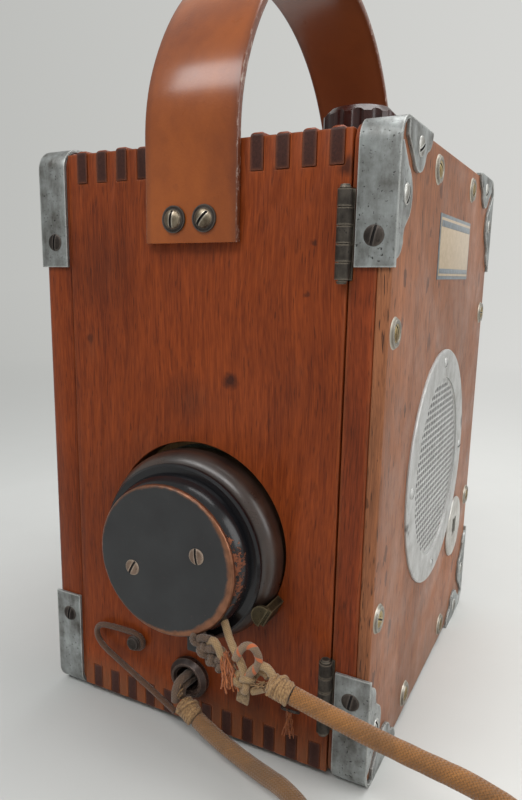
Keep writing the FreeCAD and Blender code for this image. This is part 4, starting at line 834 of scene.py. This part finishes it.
for rounded in (
    ("side_board_left", "case_wood", "case", 0.5), ("side_board_right", "case_wood", "case", 0.5),
    ("top_board", "case_wood_lying", "case", 0.5), ("bottom_board", "case_wood_lying", "case", 0.5),
    ("back_panel", "case_wood", "case", 1.6), ("back_corner_guards", "guard_metal", "case", 0.4),
    ("door_stiles", "door_stile_wood", "door", 0.6), ("door_rails", "door_wood", "door", 0.5),
    ("door_panel", "door_wood", "door", 1.1), ("door_corner_guards", "guard_metal", "door", 0.4),
    ("chassis_board", "inner_wood", "case", 0.6), ("receiver_seat", "inner_wood", "case", 0.4),
    ("condenser", "can_metal", "case", 1.2), ("induction_coil", "coil_paper", "case", 0.6),
    ("lock_escutcheon", "lock_steel", "door", 0.3), ("lock_case", "steel", "door", 0.4),
    ("lock_strike", "steel", "case", 0.3),
):
    eased_copy(*rounded)

# %% [markdown]
# ## Finger ends
#
# The side boards have shrunk and worn more than the end grain of the top board, so its fingers
# stand a millimetre or two above the corner, each with a softly rounded top. They are blocks whose
# upper edges are beveled wide. Each one's height differs, and those behind the strap end inside
# the side's face, to leave it room.

# %% Proud finger ends
case_width, board, side_top = 179.0, 11.0, 230.5
finger_count, finger_front, finger_pitch = 12, 2.7, 109.5 / 11.5
finger_width, finger_depth = finger_pitch / 2, board - 1.5
strap_from, strap_to = 34.0, 79.0
fingers = bmesh.new()
for face, inward in ((0.0, 1.0), (case_width, -1.0)):
    for i in range(finger_count):
        front = finger_front + i * finger_pitch
        rise = random.uniform(0.6, 1.6)
        proud = -0.6 if strap_from < front < strap_to else random.uniform(0.15, 0.4)
        middle = spot(
            face + inward * (finger_depth - proud) / 2, front + finger_width / 2,
            side_top - (board - rise) / 2,
        )
        size = finger_depth + proud, finger_width + 0.1, board + rise
        edges = {e for v in add_box(fingers, middle, size) for e in v.link_edges}
        top = spot(0, 0, side_top + rise).z
        crest = [e for e in edges if all(abs(v.co.z - top) < 1e-5 for v in e.verts)]
        soften(fingers, crest, random.uniform(1.3, 1.9), 4)
finger_ends = piece("finger_ends", fingers, "case_wood_lying", "case", smooth=50)
print("finger ends", len(finger_ends.data.polygons))

# %% [markdown]
# ## Screw heads
#
# All the heads are slotted and none is lined up with the next. A head is half a squashed sphere:
# cuts beside the slot and at its floor mark out the strip, which is extruded and pressed flat. The
# same head is then set at every place of its kind, with a slot turned as its last screwdriver
# left it.


# %% A slotted head
def heads(name, paint_name, body, node, radius, rise, slot, seats, floor_share=0.3):
    """Slotted heads in millimetres, one at each seat of (place, axis, slot turn)."""
    half_slot = slot / 2 / radius
    head = bmesh.new()
    bmesh.ops.create_uvsphere(head, u_segments=28, v_segments=12, radius=1.0)
    for place, normal, clear in (
        ((0, 0, 0), (0, 0, 1), True), ((0, 0, floor_share), (0, 0, 1), False),
        ((0, -half_slot, 0), (0, 1, 0), False), ((0, half_slot, 0), (0, 1, 0), False),
    ):
        whole = head.verts[:] + head.edges[:] + head.faces[:]
        bmesh.ops.bisect_plane(head, geom=whole, plane_co=place, plane_no=normal, clear_inner=clear)
    strip = []
    for face in head.faces:
        centre = face.calc_center_median()
        if abs(centre.y) < half_slot and centre.z > floor_share:
            strip.append(face)
    sunk = of_kind(BMVert, bmesh.ops.extrude_face_region(head, geom=strip)["geom"])
    # The slot's walls and floor take a second finish, a near-black for dirt and painted shade in
    # the slot.
    for face in {f for v in sunk for f in v.link_faces}:
        face.material_index = 1
    bmesh.ops.delete(head, geom=[f for f in strip if f.is_valid], context="FACES")
    bmesh.ops.scale(head, vec=(1, 1, 0), verts=sunk)
    bmesh.ops.translate(head, vec=(0, 0, floor_share), verts=sunk)
    bmesh.ops.holes_fill(head, edges=[e for e in head.edges if e.is_boundary])
    bmesh.ops.scale(head, vec=(radius * MM, radius * MM, rise * MM), verts=head.verts)
    pattern = bpy.data.meshes.new(name + "_pattern")
    head.to_mesh(pattern)
    head.free()
    row = bmesh.new()
    for place, axis, turn in seats:
        count = len(row.verts)
        row.from_mesh(pattern)
        row.verts.ensure_lookup_table()
        bmesh.ops.transform(row, matrix=turned_to(place, axis, turn), verts=row.verts[count:])
    made = piece(name, row, paint_name, body, node, smooth=30)
    made.data.materials.append(finishes["slot_shade_and_dirt"])


# %% Guard, strap and door screws
left_face, right_face, front_face, rear_face = (-1, 0, 0), (1, 0, 0), (0, -1, 0), (0, 1, 0)
door_foot, door_head = -1.9, 232.4
for name, body, face, middle, way in (
    ("door", "door", -15.8, -8.5, front_face), ("back", "case", 131.7, 124.4, rear_face),
):
    flat, sides = [], []
    for edge, side, turn in ((0, 1, left_face), (case_width, -1, right_face)):
        for end, up in ((door_foot, 1), (door_head, -1)):
            for x, z, least, most in ((7.7, 22.2, 60, 110), (22.3, 5.7, 20, 150)):
                place = spot(edge + side * x, face, end + up * z)
                flat.append((place, way, random.uniform(least, most)))
            place = spot(edge - side * 1.2, middle, end + up * 35.2)
            sides.append((place, turn, random.uniform(75, 110)))
    screws = name + "_guard_screws"
    heads(name + "_flange_screws", "pale_screws", body, screws, 3.4, 1.0, 0.9, flat)
    heads(name + "_side_screws", "dark_screws", body, screws, 3.4, 1.0, 0.9, sides)

band_middle, washer_top = 58.65, 4.0
seats = []
for x, way in ((-washer_top, left_face), (case_width + washer_top, right_face)):
    for y, turn in ((band_middle + 6.4, 84), (band_middle - 6.4, 48)):
        seats.append((spot(x, y, 204.2), way, turn))
heads("strap_screw_heads", "strap_steel", "case", "strap_screws", 3.5, 2.0, 0.95, seats, 0.5)

door_face, door_middle_x, door_middle_z = -14.6, 89.5, 115.25
places = [(x, door_middle_z + side * 51) for x in (6.8, 172.2) for side in (-1, 1)]
places += [(door_middle_x + side * 34.8, z) for z in (6.8, 223.7) for side in (-1, 1)]
seats = [(spot(x, door_face - 0.5, z), front_face, random.uniform(0, 180)) for x, z in places]
heads("panel_screw_heads", "brass_screws", "door", "panel_screws", 3.3, 1.0, 0.7, seats)

# %% Grille and receiver screws
grille_x, grille_z, grille_radius, grille_sheet = 88.0, 101.5, 52.3, 1.0
seats = [
    (spot(grille_x + u * 46.5, door_face - grille_sheet, grille_z + v * 46.5), front_face, turn)
    for u, v, turn in ((1, 0, 20), (-1, 0, 70), (0, 1, 55), (0, -1, 100))
]
heads("grille_screw_heads", "grille_aluminium", "door", "grille_screws", 2.3, 0.9, 0.6, seats)
seats = [(spot(-23.0, 43.5, 86.3), left_face, 98), (spot(-23.0, 71.9, 75.9), left_face, 62)]
heads(
    "plate_screw_heads", "plate_steel", "receiver", "back_cap_screws", 3.1, 0.8, 0.85, seats, 0.2
)

# %% [markdown]
# ## The strap
#
# The handle is a thick band of leather screwed to both sides and bent over the top. It could be a
# curve with a profile, but a spin keeps the bend exact: the band's end is extruded up the side,
# spun round the shoulder, over the main arch and the other shoulder, and extruded down again.
# Its long edges are rounded first, on the flat end section.

# %% Bending the strap
strap_thick, strap_width, strap_foot = 3.2, 38.4, 195.9
spring, shoulder, lean = 232.0, 60.0, math.radians(24)
half = case_width / 2
arch = (half - shoulder * (1 - math.cos(lean))) / math.cos(lean)
arch_drop = (arch - shoulder) * math.sin(lean)
band = bmesh.new()
section = bmesh.ops.create_grid(band, x_segments=1, y_segments=1, size=0.5)["verts"]
bmesh.ops.scale(band, vec=(strap_thick * MM, strap_width * MM, 1), verts=section)
bmesh.ops.translate(band, vec=spot(-strap_thick / 2, band_middle, strap_foot), verts=section)
soften(band, band.edges[:] + band.verts[:], 0.9, 3, "VERTICES")


def pulled(end, rise, steps=6):
    """Extrudes the band's end straight up or down in equal steps."""
    for _ in range(steps):
        out = bmesh.ops.extrude_face_region(band, geom=end)["geom"]
        lift = (0, 0, rise / steps * MM)
        bmesh.ops.translate(band, vec=lift, verts=of_kind(BMVert, out))
        end = of_kind(BMFace, out)
    return end


def spun(end, x, z, angle, steps):
    """Turns the band's end around a line across the case."""
    around = {v for f in end for v in f.verts} | {e for f in end for e in f.edges}
    out = bmesh.ops.spin(
        band, geom=end + list(around), cent=spot(x, band_middle, z), axis=(0, 1, 0), angle=angle,
        steps=steps,
    )
    return of_kind(BMFace, out["geom_last"])


end = pulled(band.faces[:], spring - strap_foot)
end = spun(end, shoulder, spring, lean, 8)
end = spun(end, half, spring - arch_drop, math.pi - 2 * lean, 56)
end = spun(end, case_width - shoulder, spring, lean, 8)
pulled(end, strap_foot - spring)
print("strap top", max(v.co.z for v in band.verts))
piece("strap_band", band, "strap_leather", "case", "handle_strap", smooth=50)

# %% [markdown]
# ## The perforated grille
#
# The disc in front of the transmitter is a sheet punched with round holes in staggered rows.
# Cutting hundreds of holes by booleans would be slow and fragile. Instead one hexagonal cell with
# a round hole is bridged once and repeated on its own honeycomb, so the cells meet edge to edge.
# Blank cells fill the rim of the field, and a turned ring makes the plain border.

# %% One punched cell and its field
hole_pitch, hole_radius, field_radius, blank_rim, rows = 3.175, 1.15, 38.2, 4.5, 15


def cell(punched):
    """A hexagon, with a round hole or without, facing up."""
    shape = bmesh.new()
    across = hole_pitch / math.sqrt(3) * MM
    bmesh.ops.create_circle(shape, segments=6, radius=across, cap_ends=not punched)
    if punched:
        bmesh.ops.create_circle(shape, segments=12, radius=hole_radius * MM)
        bmesh.ops.bridge_loops(shape, edges=shape.edges[:])
    pattern = bpy.data.meshes.new("cell")
    shape.to_mesh(pattern)
    shape.free()
    return pattern


def on_door(ahead):
    """Where a disc lies on the grille's middle, this many millimetres ahead of the door."""
    return turned_to(spot(grille_x, door_face - ahead, grille_z), front_face)


field = bmesh.new()
patterns = {punched: cell(punched) for punched in (True, False)}
for row in range(-rows, rows + 1):
    for column in range(-rows, rows + 1):
        u, v = hole_pitch * (column + row % 2 / 2), hole_pitch * row * math.sqrt(3) / 2
        reach = math.hypot(u, v)
        if reach > field_radius + blank_rim:
            continue
        count = len(field.verts)
        field.from_mesh(patterns[reach < field_radius])
        field.verts.ensure_lookup_table()
        bmesh.ops.translate(field, vec=(u * MM, v * MM, 0), verts=field.verts[count:])
bmesh.ops.remove_doubles(field, verts=field.verts, dist=2e-5)
bmesh.ops.recalc_face_normals(field, faces=field.faces)
bmesh.ops.solidify(field, geom=field.faces, thickness=0.85 * MM)
bmesh.ops.transform(field, matrix=on_door(0.06), verts=field.verts)
print("field faces", len(field.faces))

# %% Border, and a black backing as painted shade
border = [
    (field_radius + 1.6, 0), (grille_radius, 0), (grille_radius, 0.55),
    (grille_radius - 0.45, grille_sheet), (field_radius + 1.9, grille_sheet),
    (field_radius + 1.6, 0.8), (field_radius + 1.6, 0),
]
lathe(field, border, on_door(0), 96)
grille = piece("punched_grille", field, "grille_aluminium", "door", "grille")
# A thin black disc inside the door, behind the holes, stands for the shade in there: painted shade.
shade_backing = bmesh.new()
lathe(shade_backing, [(0, 0), (39.5, 0), (39.5, 0.2), (0, 0.2)], on_door(-0.35), 48)
piece("grille_shade_backing", shade_backing, "ebonite", "door")
print("grille faces", len(grille.data.polygons))

# %% [markdown]
# ## The card on the door
#
# A small printed card in a thin frame is fixed above the grille. Here it stays blank: a cream
# card with a plain band at its head and foot, slightly lifted at its edges, in a pressed frame.

# %% Blank card
card_x, card_z = 94.0, 196.3
for name, width, height, shift, lift, paint_name in (
    ("card_frame", 62.4, 25.4, 0.0, 0.28, "card_band"),
    ("card_sheet", 59.6, 22.6, 0.0, 0.42, "blank_card"),
    ("card_head", 58.4, 2.6, 9.0, 0.5, "card_band"),
    ("card_foot", 58.4, 2.0, -9.4, 0.5, "card_band"),
):
    sheet = bmesh.new()
    centre = spot(card_x, door_face - lift / 2, card_z + shift)
    add_box(sheet, centre, (width, lift, height))
    outer = [e for e in sheet.edges if all(v.co.y < centre.y for v in e.verts)]
    soften(sheet, outer, 0.12, 2)
    piece(name, sheet, paint_name, "door")
print("card on the door")

# %% [markdown]
# ## Cords
#
# A cord is a fixed length of something limp. The braided receiver cord is 3 feet long on sets of
# this kind. It leaves its whipping beside the receiver, passes in front of the door, lies in
# tied turns beside the set and comes back to the ferrule. Each cord is one NURBS line through
# the same points as its CAD solid, in millimetres here, so that it bends like a cord and not
# like a wire. The braid needs to know where it is along and around the cord, so a sleeve is
# built on that line: one ring, extruded from point to point, that writes both into each vertex.


# %% A line and its points
def nurbs(name, routes, radius=0.0):
    """A curve of one NURBS line for each route of points in millimetres."""
    curve = bpy.data.curves.new(name, "CURVE")
    curve.dimensions = "3D"
    for points in routes:
        line = curve.splines.new("NURBS")
        line.points.add(len(points) - 1)
        for control, place in zip(line.points, points):
            control.co = (*spot(*place), 1)
        line.order_u = 3
        line.use_endpoint_u = True
    curve.resolution_u = 10
    curve.bevel_depth = radius * MM
    curve.bevel_resolution = 2
    curve.use_fill_caps = True
    return show(name, curve)


def centre_line(points):
    """The points of a smooth line through a route, read from its NURBS curve."""
    guide = nurbs("guide", [points])
    read = bpy.data.meshes.new_from_object(guide)
    places = [v.co.copy() for v in read.vertices]
    bpy.data.objects.remove(guide)
    bpy.data.meshes.remove(read)
    return places


# %% A sleeve along a line
def sleeve(shape, places, radius, sides=12, wobble=0.0):
    """Adds a tube along places, whose vertices know their way around (x, y) and along (z)."""
    layers = shape.verts.layers.float_vector
    lay = layers.get("lay") or layers.new("lay")
    ring = bmesh.ops.create_circle(shape, segments=sides, radius=1.0)["verts"]
    for v in ring:
        v[lay] = v.co.copy()
    first = lines = list({e for v in ring for e in v.link_edges})
    ahead = (places[1] - places[0]).normalized()
    across = ahead.orthogonal().normalized()
    before, travelled = Matrix.Identity(4), 0.0
    for i, place in enumerate(places):
        if i:
            travelled += (place - places[i - 1]).length
            beyond = places[min(i + 1, len(places) - 1)]
            new_ahead = (beyond - places[i - 1]).normalized()
            across = (ahead.rotation_difference(new_ahead) @ across).normalized()
            ahead = new_ahead
            out = bmesh.ops.extrude_edge_only(shape, edges=lines)["geom"]
            ring = of_kind(BMVert, out)
            lines = [e for e in of_kind(BMEdge, out) if set(e.verts) <= set(ring)]
        thick = (radius + wobble * (random.random() - 0.5)) * MM
        turn = Matrix((across, ahead.cross(across), ahead)).transposed().to_4x4()
        there = Matrix.Translation(place) @ turn @ Matrix.Diagonal((thick, thick, thick, 1))
        bmesh.ops.transform(shape, matrix=there @ before.inverted(), verts=ring)
        before = there
        for v in ring:
            v[lay] = Vector((v[lay].x, v[lay].y, travelled))
    for rim in (first, lines):
        bmesh.ops.holes_fill(shape, edges=rim)
    return travelled


def braided_piece(name, routes, radius, paint_name, body, *nodes, sides=12, wobble=0.0):
    """One piece of sleeves, and the line and length of its first one."""
    shape = bmesh.new()
    lines = [centre_line(points) for points in routes]
    lengths = [sleeve(shape, line, radius, sides, wobble) for line in lines]
    made = piece(name, shape, paint_name, body, *nodes, smooth=60)
    print(name, "lengths mm", [round(length / MM, 1) for length in lengths])
    return made, lines[0], lengths[0]


# %% The receiver cord
hank_x, hank_y, hank_radius, hank_steps = -84, -127, 38.3, 31
out_of_whipping = [
    (-23.3, 4.7, 44.5), (-23.3, -14.0, 40.5), (-25.6, -37.0, 38.6), (-29.5, -60.5, 38.6),
    (-36, -84, 32.5), (-42.5, -105, 24.5),
]
hank = []
for step in range(hank_steps + 1):
    angle = math.radians(-30 * step)
    x, y = hank_x + hank_radius * math.cos(angle), hank_y + hank_radius * math.sin(angle)
    hank.append((x, y, 0.25 + 7.0 * (hank_steps - step) / 12))
back_to_ferrule = [
    (-103.5, -85.5, 0.25), (-79, -58, 0.4), (-51, -30, 2.2), (-26.5, 0, 8.6),
    (-17, 22, 4.8), (-12.5, 41, 7.4), (-9.85, 50.75, 10.3),
]
cord_route = out_of_whipping + hank + back_to_ferrule
cord, cord_line, _ = braided_piece(
    "braided_cord", [cord_route], cord_radius, "cord_braid", None, "receiver_cord", sides=16,
    wobble=0.12,
)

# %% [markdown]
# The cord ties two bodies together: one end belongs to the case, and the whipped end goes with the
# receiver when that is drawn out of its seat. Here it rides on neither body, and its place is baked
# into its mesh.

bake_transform(cord)
stay_route = [
    (-2.1, 89.5, 27.1), (-2.1, 83.1, 27.3), (-2.1, 83.1, 34.1), (-3, 96, 34.9), (-3.2, 107.2, 34),
    (-3.6, 106.6, 25.9), (-5, 92, 20), (-7, 74, 13.5), (-8.4, 62.8, 9.0),
]
stay, stay_line, _ = braided_piece(
    "stay_cord_braid", [stay_route], 1.25, "stay_braid", "case", "stay_cord"
)

# %% [markdown]
# ## Leads
#
# Inside the braid run thin leads. At the receiver they fan out to the little terminal block, one
# of them in a striped loop, and at the ferrule two go through the case. They are the same sleeves
# with a smaller radius.

# %% Receiver and ferrule leads
plain_routes = [
    [
        (-16.4, 36.2, 62.8), (-18, 33.6, 58.6), (-20, 30.6, 54.6), (-22.6, 24.8, 49.5),
        (-22.9, 23.2, 45.5), (-22.6, 23.8, 41),
    ],
    [(-17, 42.1, 48.6), (-18, 37, 50.6), (-20, 32, 48.6), (-22, 28.0, 44.4)],
    [(-20.5, 15.1, 46.5), (-19.5, 18.1, 48.0), (-19.5, 20.6, 46.2), (-20.4, 21.6, 43.9)],
    [(-22.2, 15.8, 43.2), (-22.0, 18.6, 41.2), (-22.2, 20.8, 40.3)],
    [
        (-22.6, 22.6, 45.6), (-22.2, 19.4, 51.2), (-22.4, 14.6, 51.6), (-22.9, 11.4, 47.2),
        (-23.1, 9.6, 45.6),
    ],
    [
        (-21.6, 39.4, 53.0), (-22.8, 36.6, 56.6), (-23.0, 34.2, 53.4), (-22.6, 32.4, 49.0),
        (-22.2, 30.4, 46.0),
    ],
]
striped_route = [
    (-23.45, 27, 51.5), (-23.6, 24.4, 57.6), (-23.2, 20.2, 58.6), (-22.8, 17.6, 54.2),
    (-23.0, 19.0, 49.4), (-23.2, 22.4, 46.0),
]
ferrule_routes = [
    [(-6.2, 60.7, 15.0), (-6.3, 61.3, 19.3), (0, 60.2, 19.6), (5.5, 60.2, 19.6)],
    [(-9.85, 61.45, 15.1), (-10.4, 61.5, 22.6), (-1.5, 60.3, 23.4), (5.5, 60.3, 23.4)],
]
for name, routes, radius, cover, body, node, wobble in (
    ("plain_leads", plain_routes, 1.5, "lead_braid", "receiver", "receiver_leads", 0.12),
    ("striped_lead", [striped_route], 1.4, "striped_braid", "receiver", "receiver_leads", 0.12),
    ("ferrule_lead_pair", ferrule_routes, 1.75, "soiled_braid", "case", "ferrule_leads", 0.1),
):
    braided_piece(name, routes, radius, cover, body, node, wobble=wobble)

# %% Wires inside the case and on the door
case_runs = [
    [
        (11.9, 4, 197.0), (22, 8, 185.0), (34, 22, 160.0), (41.5, 32, 135), (41.5, 37, 123),
        (41.5, 39.0, 117),
    ],
    [(11.9, 4, 32), (20, 10, 45), (24, 24, 75), (34, 33, 98), (52.5, 37, 111), (52.5, 39.0, 117)],
    [
        (12.3, 61.5, 21.5), (13.7, 54, 22), (14.6, 44, 26), (20, 38, 38), (36, 32, 62),
        (56, 32, 88), (63.5, 36, 106), (63.5, 39.0, 116.5),
    ],
    [
        (84, 30, 202.4), (74, 30, 186.0), (54, 31, 165), (53, 34, 140), (66, 36, 129.5),
        (74.5, 38, 122.5), (74.5, 39.0, 117),
    ],
]
door_runs = [
    [(80, 13.2, 112), (70, 15, 118), (48, 14, 135), (30, 8, 160), (19, 2, 180), (14, -4, 192)],
    [(80, 13.2, 92), (68, 14.5, 84), (46, 13, 68), (28, 8, 54), (19, 2, 44), (14, -4, 36)],
]
for body, runs in (("case", case_runs), ("door", door_runs)):
    for i, run in enumerate(runs):
        wire, line, length = braided_piece(
            f"{body}_wire_{i}", [run], 0.9, "wire_cover", body, body + "_wiring", sides=8
        )

# %% [markdown]
# ## String, knots and frayed ends
#
# The cord's ends are whipped with string, and the put-away turns are tied the same way. A whipping
# is a real winding, so it is one: a helix of string over a plain core, whose points a loop gives.
# Its last turn rides up and lies over the others, as a tied end does.


# %% A whipping of string
def string_piece(name, routes, radius, paint_name, body, *nodes, roundness=2):
    """Plain string along routes."""
    made = nurbs(name, routes, radius)
    made.data.resolution_u = 4
    made.data.bevel_resolution = roundness
    dress(made, paint_name, body, *nodes)


def whipping(name, middle, ahead, body, node, radius=4.1, length=8.4, string=0.75, turns=6):
    """String wound around the line from one point towards another."""
    middle, reach, steps = Vector(middle), length / 2, turns * 12
    along = (Vector(ahead) - middle).normalized()
    across = along.orthogonal().normalized()
    over = along.cross(across)
    profile = [
        (0, -reach), (radius - 0.9, -reach), (radius - 0.5, 0.5 - reach),
        (radius - 0.5, reach - 0.5), (radius - 0.9, reach), (0, reach),
    ]
    core = bmesh.new()
    lathe(core, profile, turned_to(spot(*middle), along), 24)
    piece(name + "_core", core, "thread", body, node)
    winding = []
    for i in range(steps + 1):
        out = radius - string * 0.7 + 0.12 * math.sin(i / steps * 40)
        winding.append((i, out, i / steps - 0.5))
    winding += [(i, radius + string * 0.3, 0.5 - 0.08 * i) for i in range(1, 12)]
    points = []
    for i, out, share in winding:
        angle = math.radians(30 * i)
        side = across * math.cos(angle) + over * math.sin(angle)
        points.append(middle + side * out + along * share * (length - 2 * string))
    string_piece(name + "_string", [points], string, "thread", body, node)


whipping("upper_whipping", (-23.3, 9.4, 45.5), (-23.3, -14.6, 40.35), "receiver", "upper_cord_tie")
whipping("lower_whipping", (-9.0, 55.5, 12.5), (-10.5, 46.6, 8.35), "case", "lower_cord_tie")

# %% The tie around the put-away turns
tie_turn, tie_steps, tie_width, tie_level = math.radians(-15), 6 * 12, 5.6, 11.04
half_stack, round_off = 7.0, 4.2
outward = Vector((math.cos(tie_turn), math.sin(tie_turn), 0))
forward = Vector((-outward.y, outward.x, 0))
tie_middle = Vector((hank_x, hank_y, tie_level)) + outward * hank_radius * math.cos(tie_turn)
points = []
for i in range(tie_steps + 1):
    angle = math.radians(30 * i)
    aside, rise = math.cos(angle), math.sin(angle)
    level = half_stack * (1 if rise > 0.01 else -1 if rise < -0.01 else 0) + round_off * rise
    place = tie_middle + outward * round_off * aside + Vector((0, 0, level))
    points.append(place + forward * (i / tie_steps - 0.5) * tie_width)
string_piece("hank_string", [points], 0.5, "thread", "case", "lower_cord_tie")

# %% [markdown]
# The leads end in an overhand knot with a flat woven tab below it, and the cut cotton around them
# has frayed into an orange tuft. A knot is a trefoil line; the tab is a small bent strip with
# thickness; and the tuft is a few dozen hair-thin lines, each wandering its own way from one place
# to another.


# %% Knots
def trefoil(x, y, z, size, squash):
    """The points of an overhand knot in millimetres."""
    points = []
    for i in range(25):
        t = 2 * math.pi * i / 24
        along = math.sin(t) + 2 * math.sin(2 * t)
        up = math.cos(t) - 2 * math.cos(2 * t)
        points.append((x - math.sin(3 * t) * size * squash, y + along * size, z + up * size))
    return points


lead_knot = trefoil(-23.0, 23.6, 43.4, 1.1, 1.3)
braided_piece("lead_knot", [lead_knot], 1.3, "lead_braid", "receiver", wobble=0.15)
block_knots = [
    trefoil(-22.2, 41.6, 53.6, 1.2, 1.2), trefoil(-22.4, 38.4, 50.2, 1.25, 1.3),
    trefoil(-22.0, 34.6, 47.4, 0.9, 1.4),
]
braided_piece("block_knots", block_knots, 1.35, "soiled_braid", "receiver", wobble=0.3)

# %% Woven tab
tab_middle = spot(-22.6, 24.0, 38.2)
tab = bmesh.new()
bmesh.ops.create_grid(tab, x_segments=8, y_segments=6, size=0.5)
upright = Matrix.Rotation(math.radians(-100), 4, "Z") @ Matrix.Rotation(math.radians(84), 4, "X")
size = Matrix.Diagonal((5.2 * MM, 6.4 * MM, 1, 1))
bmesh.ops.transform(tab, matrix=Matrix.Translation(tab_middle) @ upright @ size, verts=tab.verts)
for v in tab.verts:
    curl = (v.co.z - tab_middle.z) / (3.2 * MM)
    v.co.x -= 0.7 * MM * curl * curl - random.uniform(-0.12, 0.12) * MM
tab_piece = piece("woven_tab", tab, "tape", "receiver", smooth=60)
thick = tab_piece.modifiers.new("thickness", "SOLIDIFY")
thick.thickness = 1.1 * MM
thick.offset = 0
soft = tab_piece.modifiers.new("soft", "SUBSURF")
soft.levels = soft.render_levels = 1
print("tab corners", len(tab_piece.data.vertices))


# %% Tufts of loose thread
def astray(reach):
    """A random step of about this reach."""
    return Vector([random.gauss(0, reach) for _ in range(3)])


def tuft(name, begin, finish_at, count, spread, thickness, paint_name, body="receiver"):
    """Loose threads that wander from near one point to near another, in millimetres."""
    routes = []
    for _ in range(count):
        a = Vector(begin) + astray(spread * 0.5)
        b = Vector(finish_at) + astray(spread)
        routes.append([
            a.lerp(b, i / 5) + astray(spread * 0.55) * math.sin(math.pi * i / 5) for i in range(6)
        ])
    string_piece(name, routes, thickness, paint_name, body, roundness=0)


for loose in (
    ("orange_fray", (-22.8, 31.2, 51.2), (-23.2, 28.8, 41.6), 70, 1.45, 0.36, "orange_thread"),
    ("block_fray", (-21.6, 36.0, 50.0), (-22.2, 31.0, 46.0), 30, 1.3, 0.26, "grey_thread"),
    ("whipping_fray", (-23.0, 15.2, 45.8), (-23.4, 20.4, 43.6), 8, 0.9, 0.2, "thread"),
    ("hook_fray", (-2.6, 14.5, 22.4), (-3.0, 14.0, 12.5), 16, 1.1, 0.16, "orange_thread", "case"),
    ("ferrule_fray", (-10.2, 60.6, 16.2), (-9.6, 59.0, 21.0), 12, 0.9, 0.16, "thread", "case"),
):
    tuft(*loose)

# %% [markdown]
# ## Lug and terminal block
#
# A brass tongue stands on the receiver's rim. Its outline, straight on one side and half round on
# the other, is one face, extruded to the thickness of the sheet, and so is the leg that carries
# it. The block behind the leads is a box with rounded edges.

# %% Lug and terminal block
receiver_middle = spot(0, 57.7, 81.1)
lug_radius, lug_half, lug_round = 40.0, 4.2, 4.2
toward_lug, sideways = math.radians(207.0), Vector(left_face)
lug_out = Vector((0, math.cos(toward_lug), math.sin(toward_lug)))
lug_frame = Matrix((lug_out, sideways.cross(lug_out), sideways)).transposed().to_4x4()
tongue = [(lug_radius, lug_half), (lug_radius, -lug_half)]
for i in range(13):
    angle = math.radians(-90 - 15 * i)
    tongue.append((lug_radius - 0.8 + lug_round * math.cos(angle), lug_half * math.sin(angle)))
leg = [(41.4, lug_half - 0.6), (41.4, 0.6 - lug_half), (38.5, -lug_half), (38.5, lug_half)]
lug = bmesh.new()
for outline, low, high in ((tongue, 10.5, 11.8), (leg, 0.3, 10.6)):
    sole = lug.faces.new([lug.verts.new((r * MM, w * MM, low * MM)) for r, w in outline])
    out = bmesh.ops.extrude_face_region(lug, geom=[sole])["geom"]
    bmesh.ops.translate(lug, vec=(0, 0, (high - low) * MM), verts=of_kind(BMVert, out))
lug_frame = Matrix.Translation(receiver_middle) @ lug_frame
bmesh.ops.transform(lug, matrix=lug_frame, verts=lug.verts)
lug_piece = piece("lug_tongue", lug, "lug_brass", "receiver", "rim_lug")
block = bmesh.new()
add_box(block, spot(-16.5, 45.6, 49.4), (6.2, 8.4, 6.4))
soften(block, block.edges[:], 0.6, 2)
piece("lead_block", block, "ebonite", "receiver", "terminal_block")
print("lug faces", len(lug_piece.data.polygons))

# %% [markdown]
# ## Ear cap
#
# The cap is a turned dish with the ear hole in its middle, so one profile says it all. Its side is
# straight inside the hole of the board; outside it swells to fill the hole and rounds over towards
# the cup in a quarter of an ellipse.

# %% Ear cap
cap_radius, cap_out, cap_round, cap_drop = 38.1, 10.4, 6.2, 7.2
cap_bore, cap_floor, cap_inside = 6, -4.4, 31.3
cap_profile = [
    (cap_bore, cap_floor), (cap_bore, -7.5), (26, -9), (34.8, -9), (36.2, -8.4), (36.8, -7),
    (36.8, 0), (cap_radius, 0.4),
]
for i in range(13):
    angle = math.radians(7.5 * i)
    side = cap_radius - cap_round + cap_round * math.cos(angle)
    cap_profile.append((side, cap_out - cap_drop + cap_drop * math.sin(angle)))
cap_profile += [(cap_inside, cap_out - 0.2), (cap_inside, cap_floor), (cap_bore, cap_floor)]
cap = bmesh.new()
lathe(cap, cap_profile, turned_to(receiver_middle, left_face), 128)
cap_piece = piece("ear_cap_turned", cap, "hard_rubber", "receiver", "ear_cap", smooth=40)
print("cap faces", len(cap_piece.data.polygons))

# %% [markdown]
# ## Felt pad
#
# The receiver sits on a felt ring glued in its hole. Felt has no sharp edge, so the ring's profile
# is rounded and spun, and its fuzz is in the finish.

# %% Felt ring
pad_low, pad_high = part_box("seat_pad")
pad_middle = (pad_low + pad_high) / 2
pad_outer = (pad_high.z - pad_low.z) / 2 / MM
pad_thick = (pad_high.x - pad_low.x) / 2 / MM
profile = [
    (20.3, -pad_thick), (pad_outer - 0.3, -pad_thick), (pad_outer, 0), (pad_outer - 0.3, pad_thick),
    (20.3, pad_thick), (20.0, 0), (20.3, -pad_thick),
]
ring = bmesh.new()
lathe(ring, profile, turned_to(pad_middle, right_face), 64)
felt = piece("felt_ring", ring, "felt", "case", "seat_pad")
print("felt ring radius", pad_outer)

# %% [markdown]
# ## The other parts of the frame
#
# Everything else keeps its CAD shape: turned, stamped and moulded parts that are right as they
# are. Each of their slots is looked up by name in the finishes.

# %% Finishes on the frame
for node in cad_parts.values():
    for slot in node.material_slots:
        slot.material = finishes[slot.material.name]
for node, paint_name in (
    ("strap_washers", "dark_screws"), ("hinge_pins", "hinge_brass"), ("cup_washers", "cup_steel"),
):
    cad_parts[node].material_slots[0].material = finishes[paint_name]
print("kept", sum(not n.hide_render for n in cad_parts.values()), "nodes of the frame")
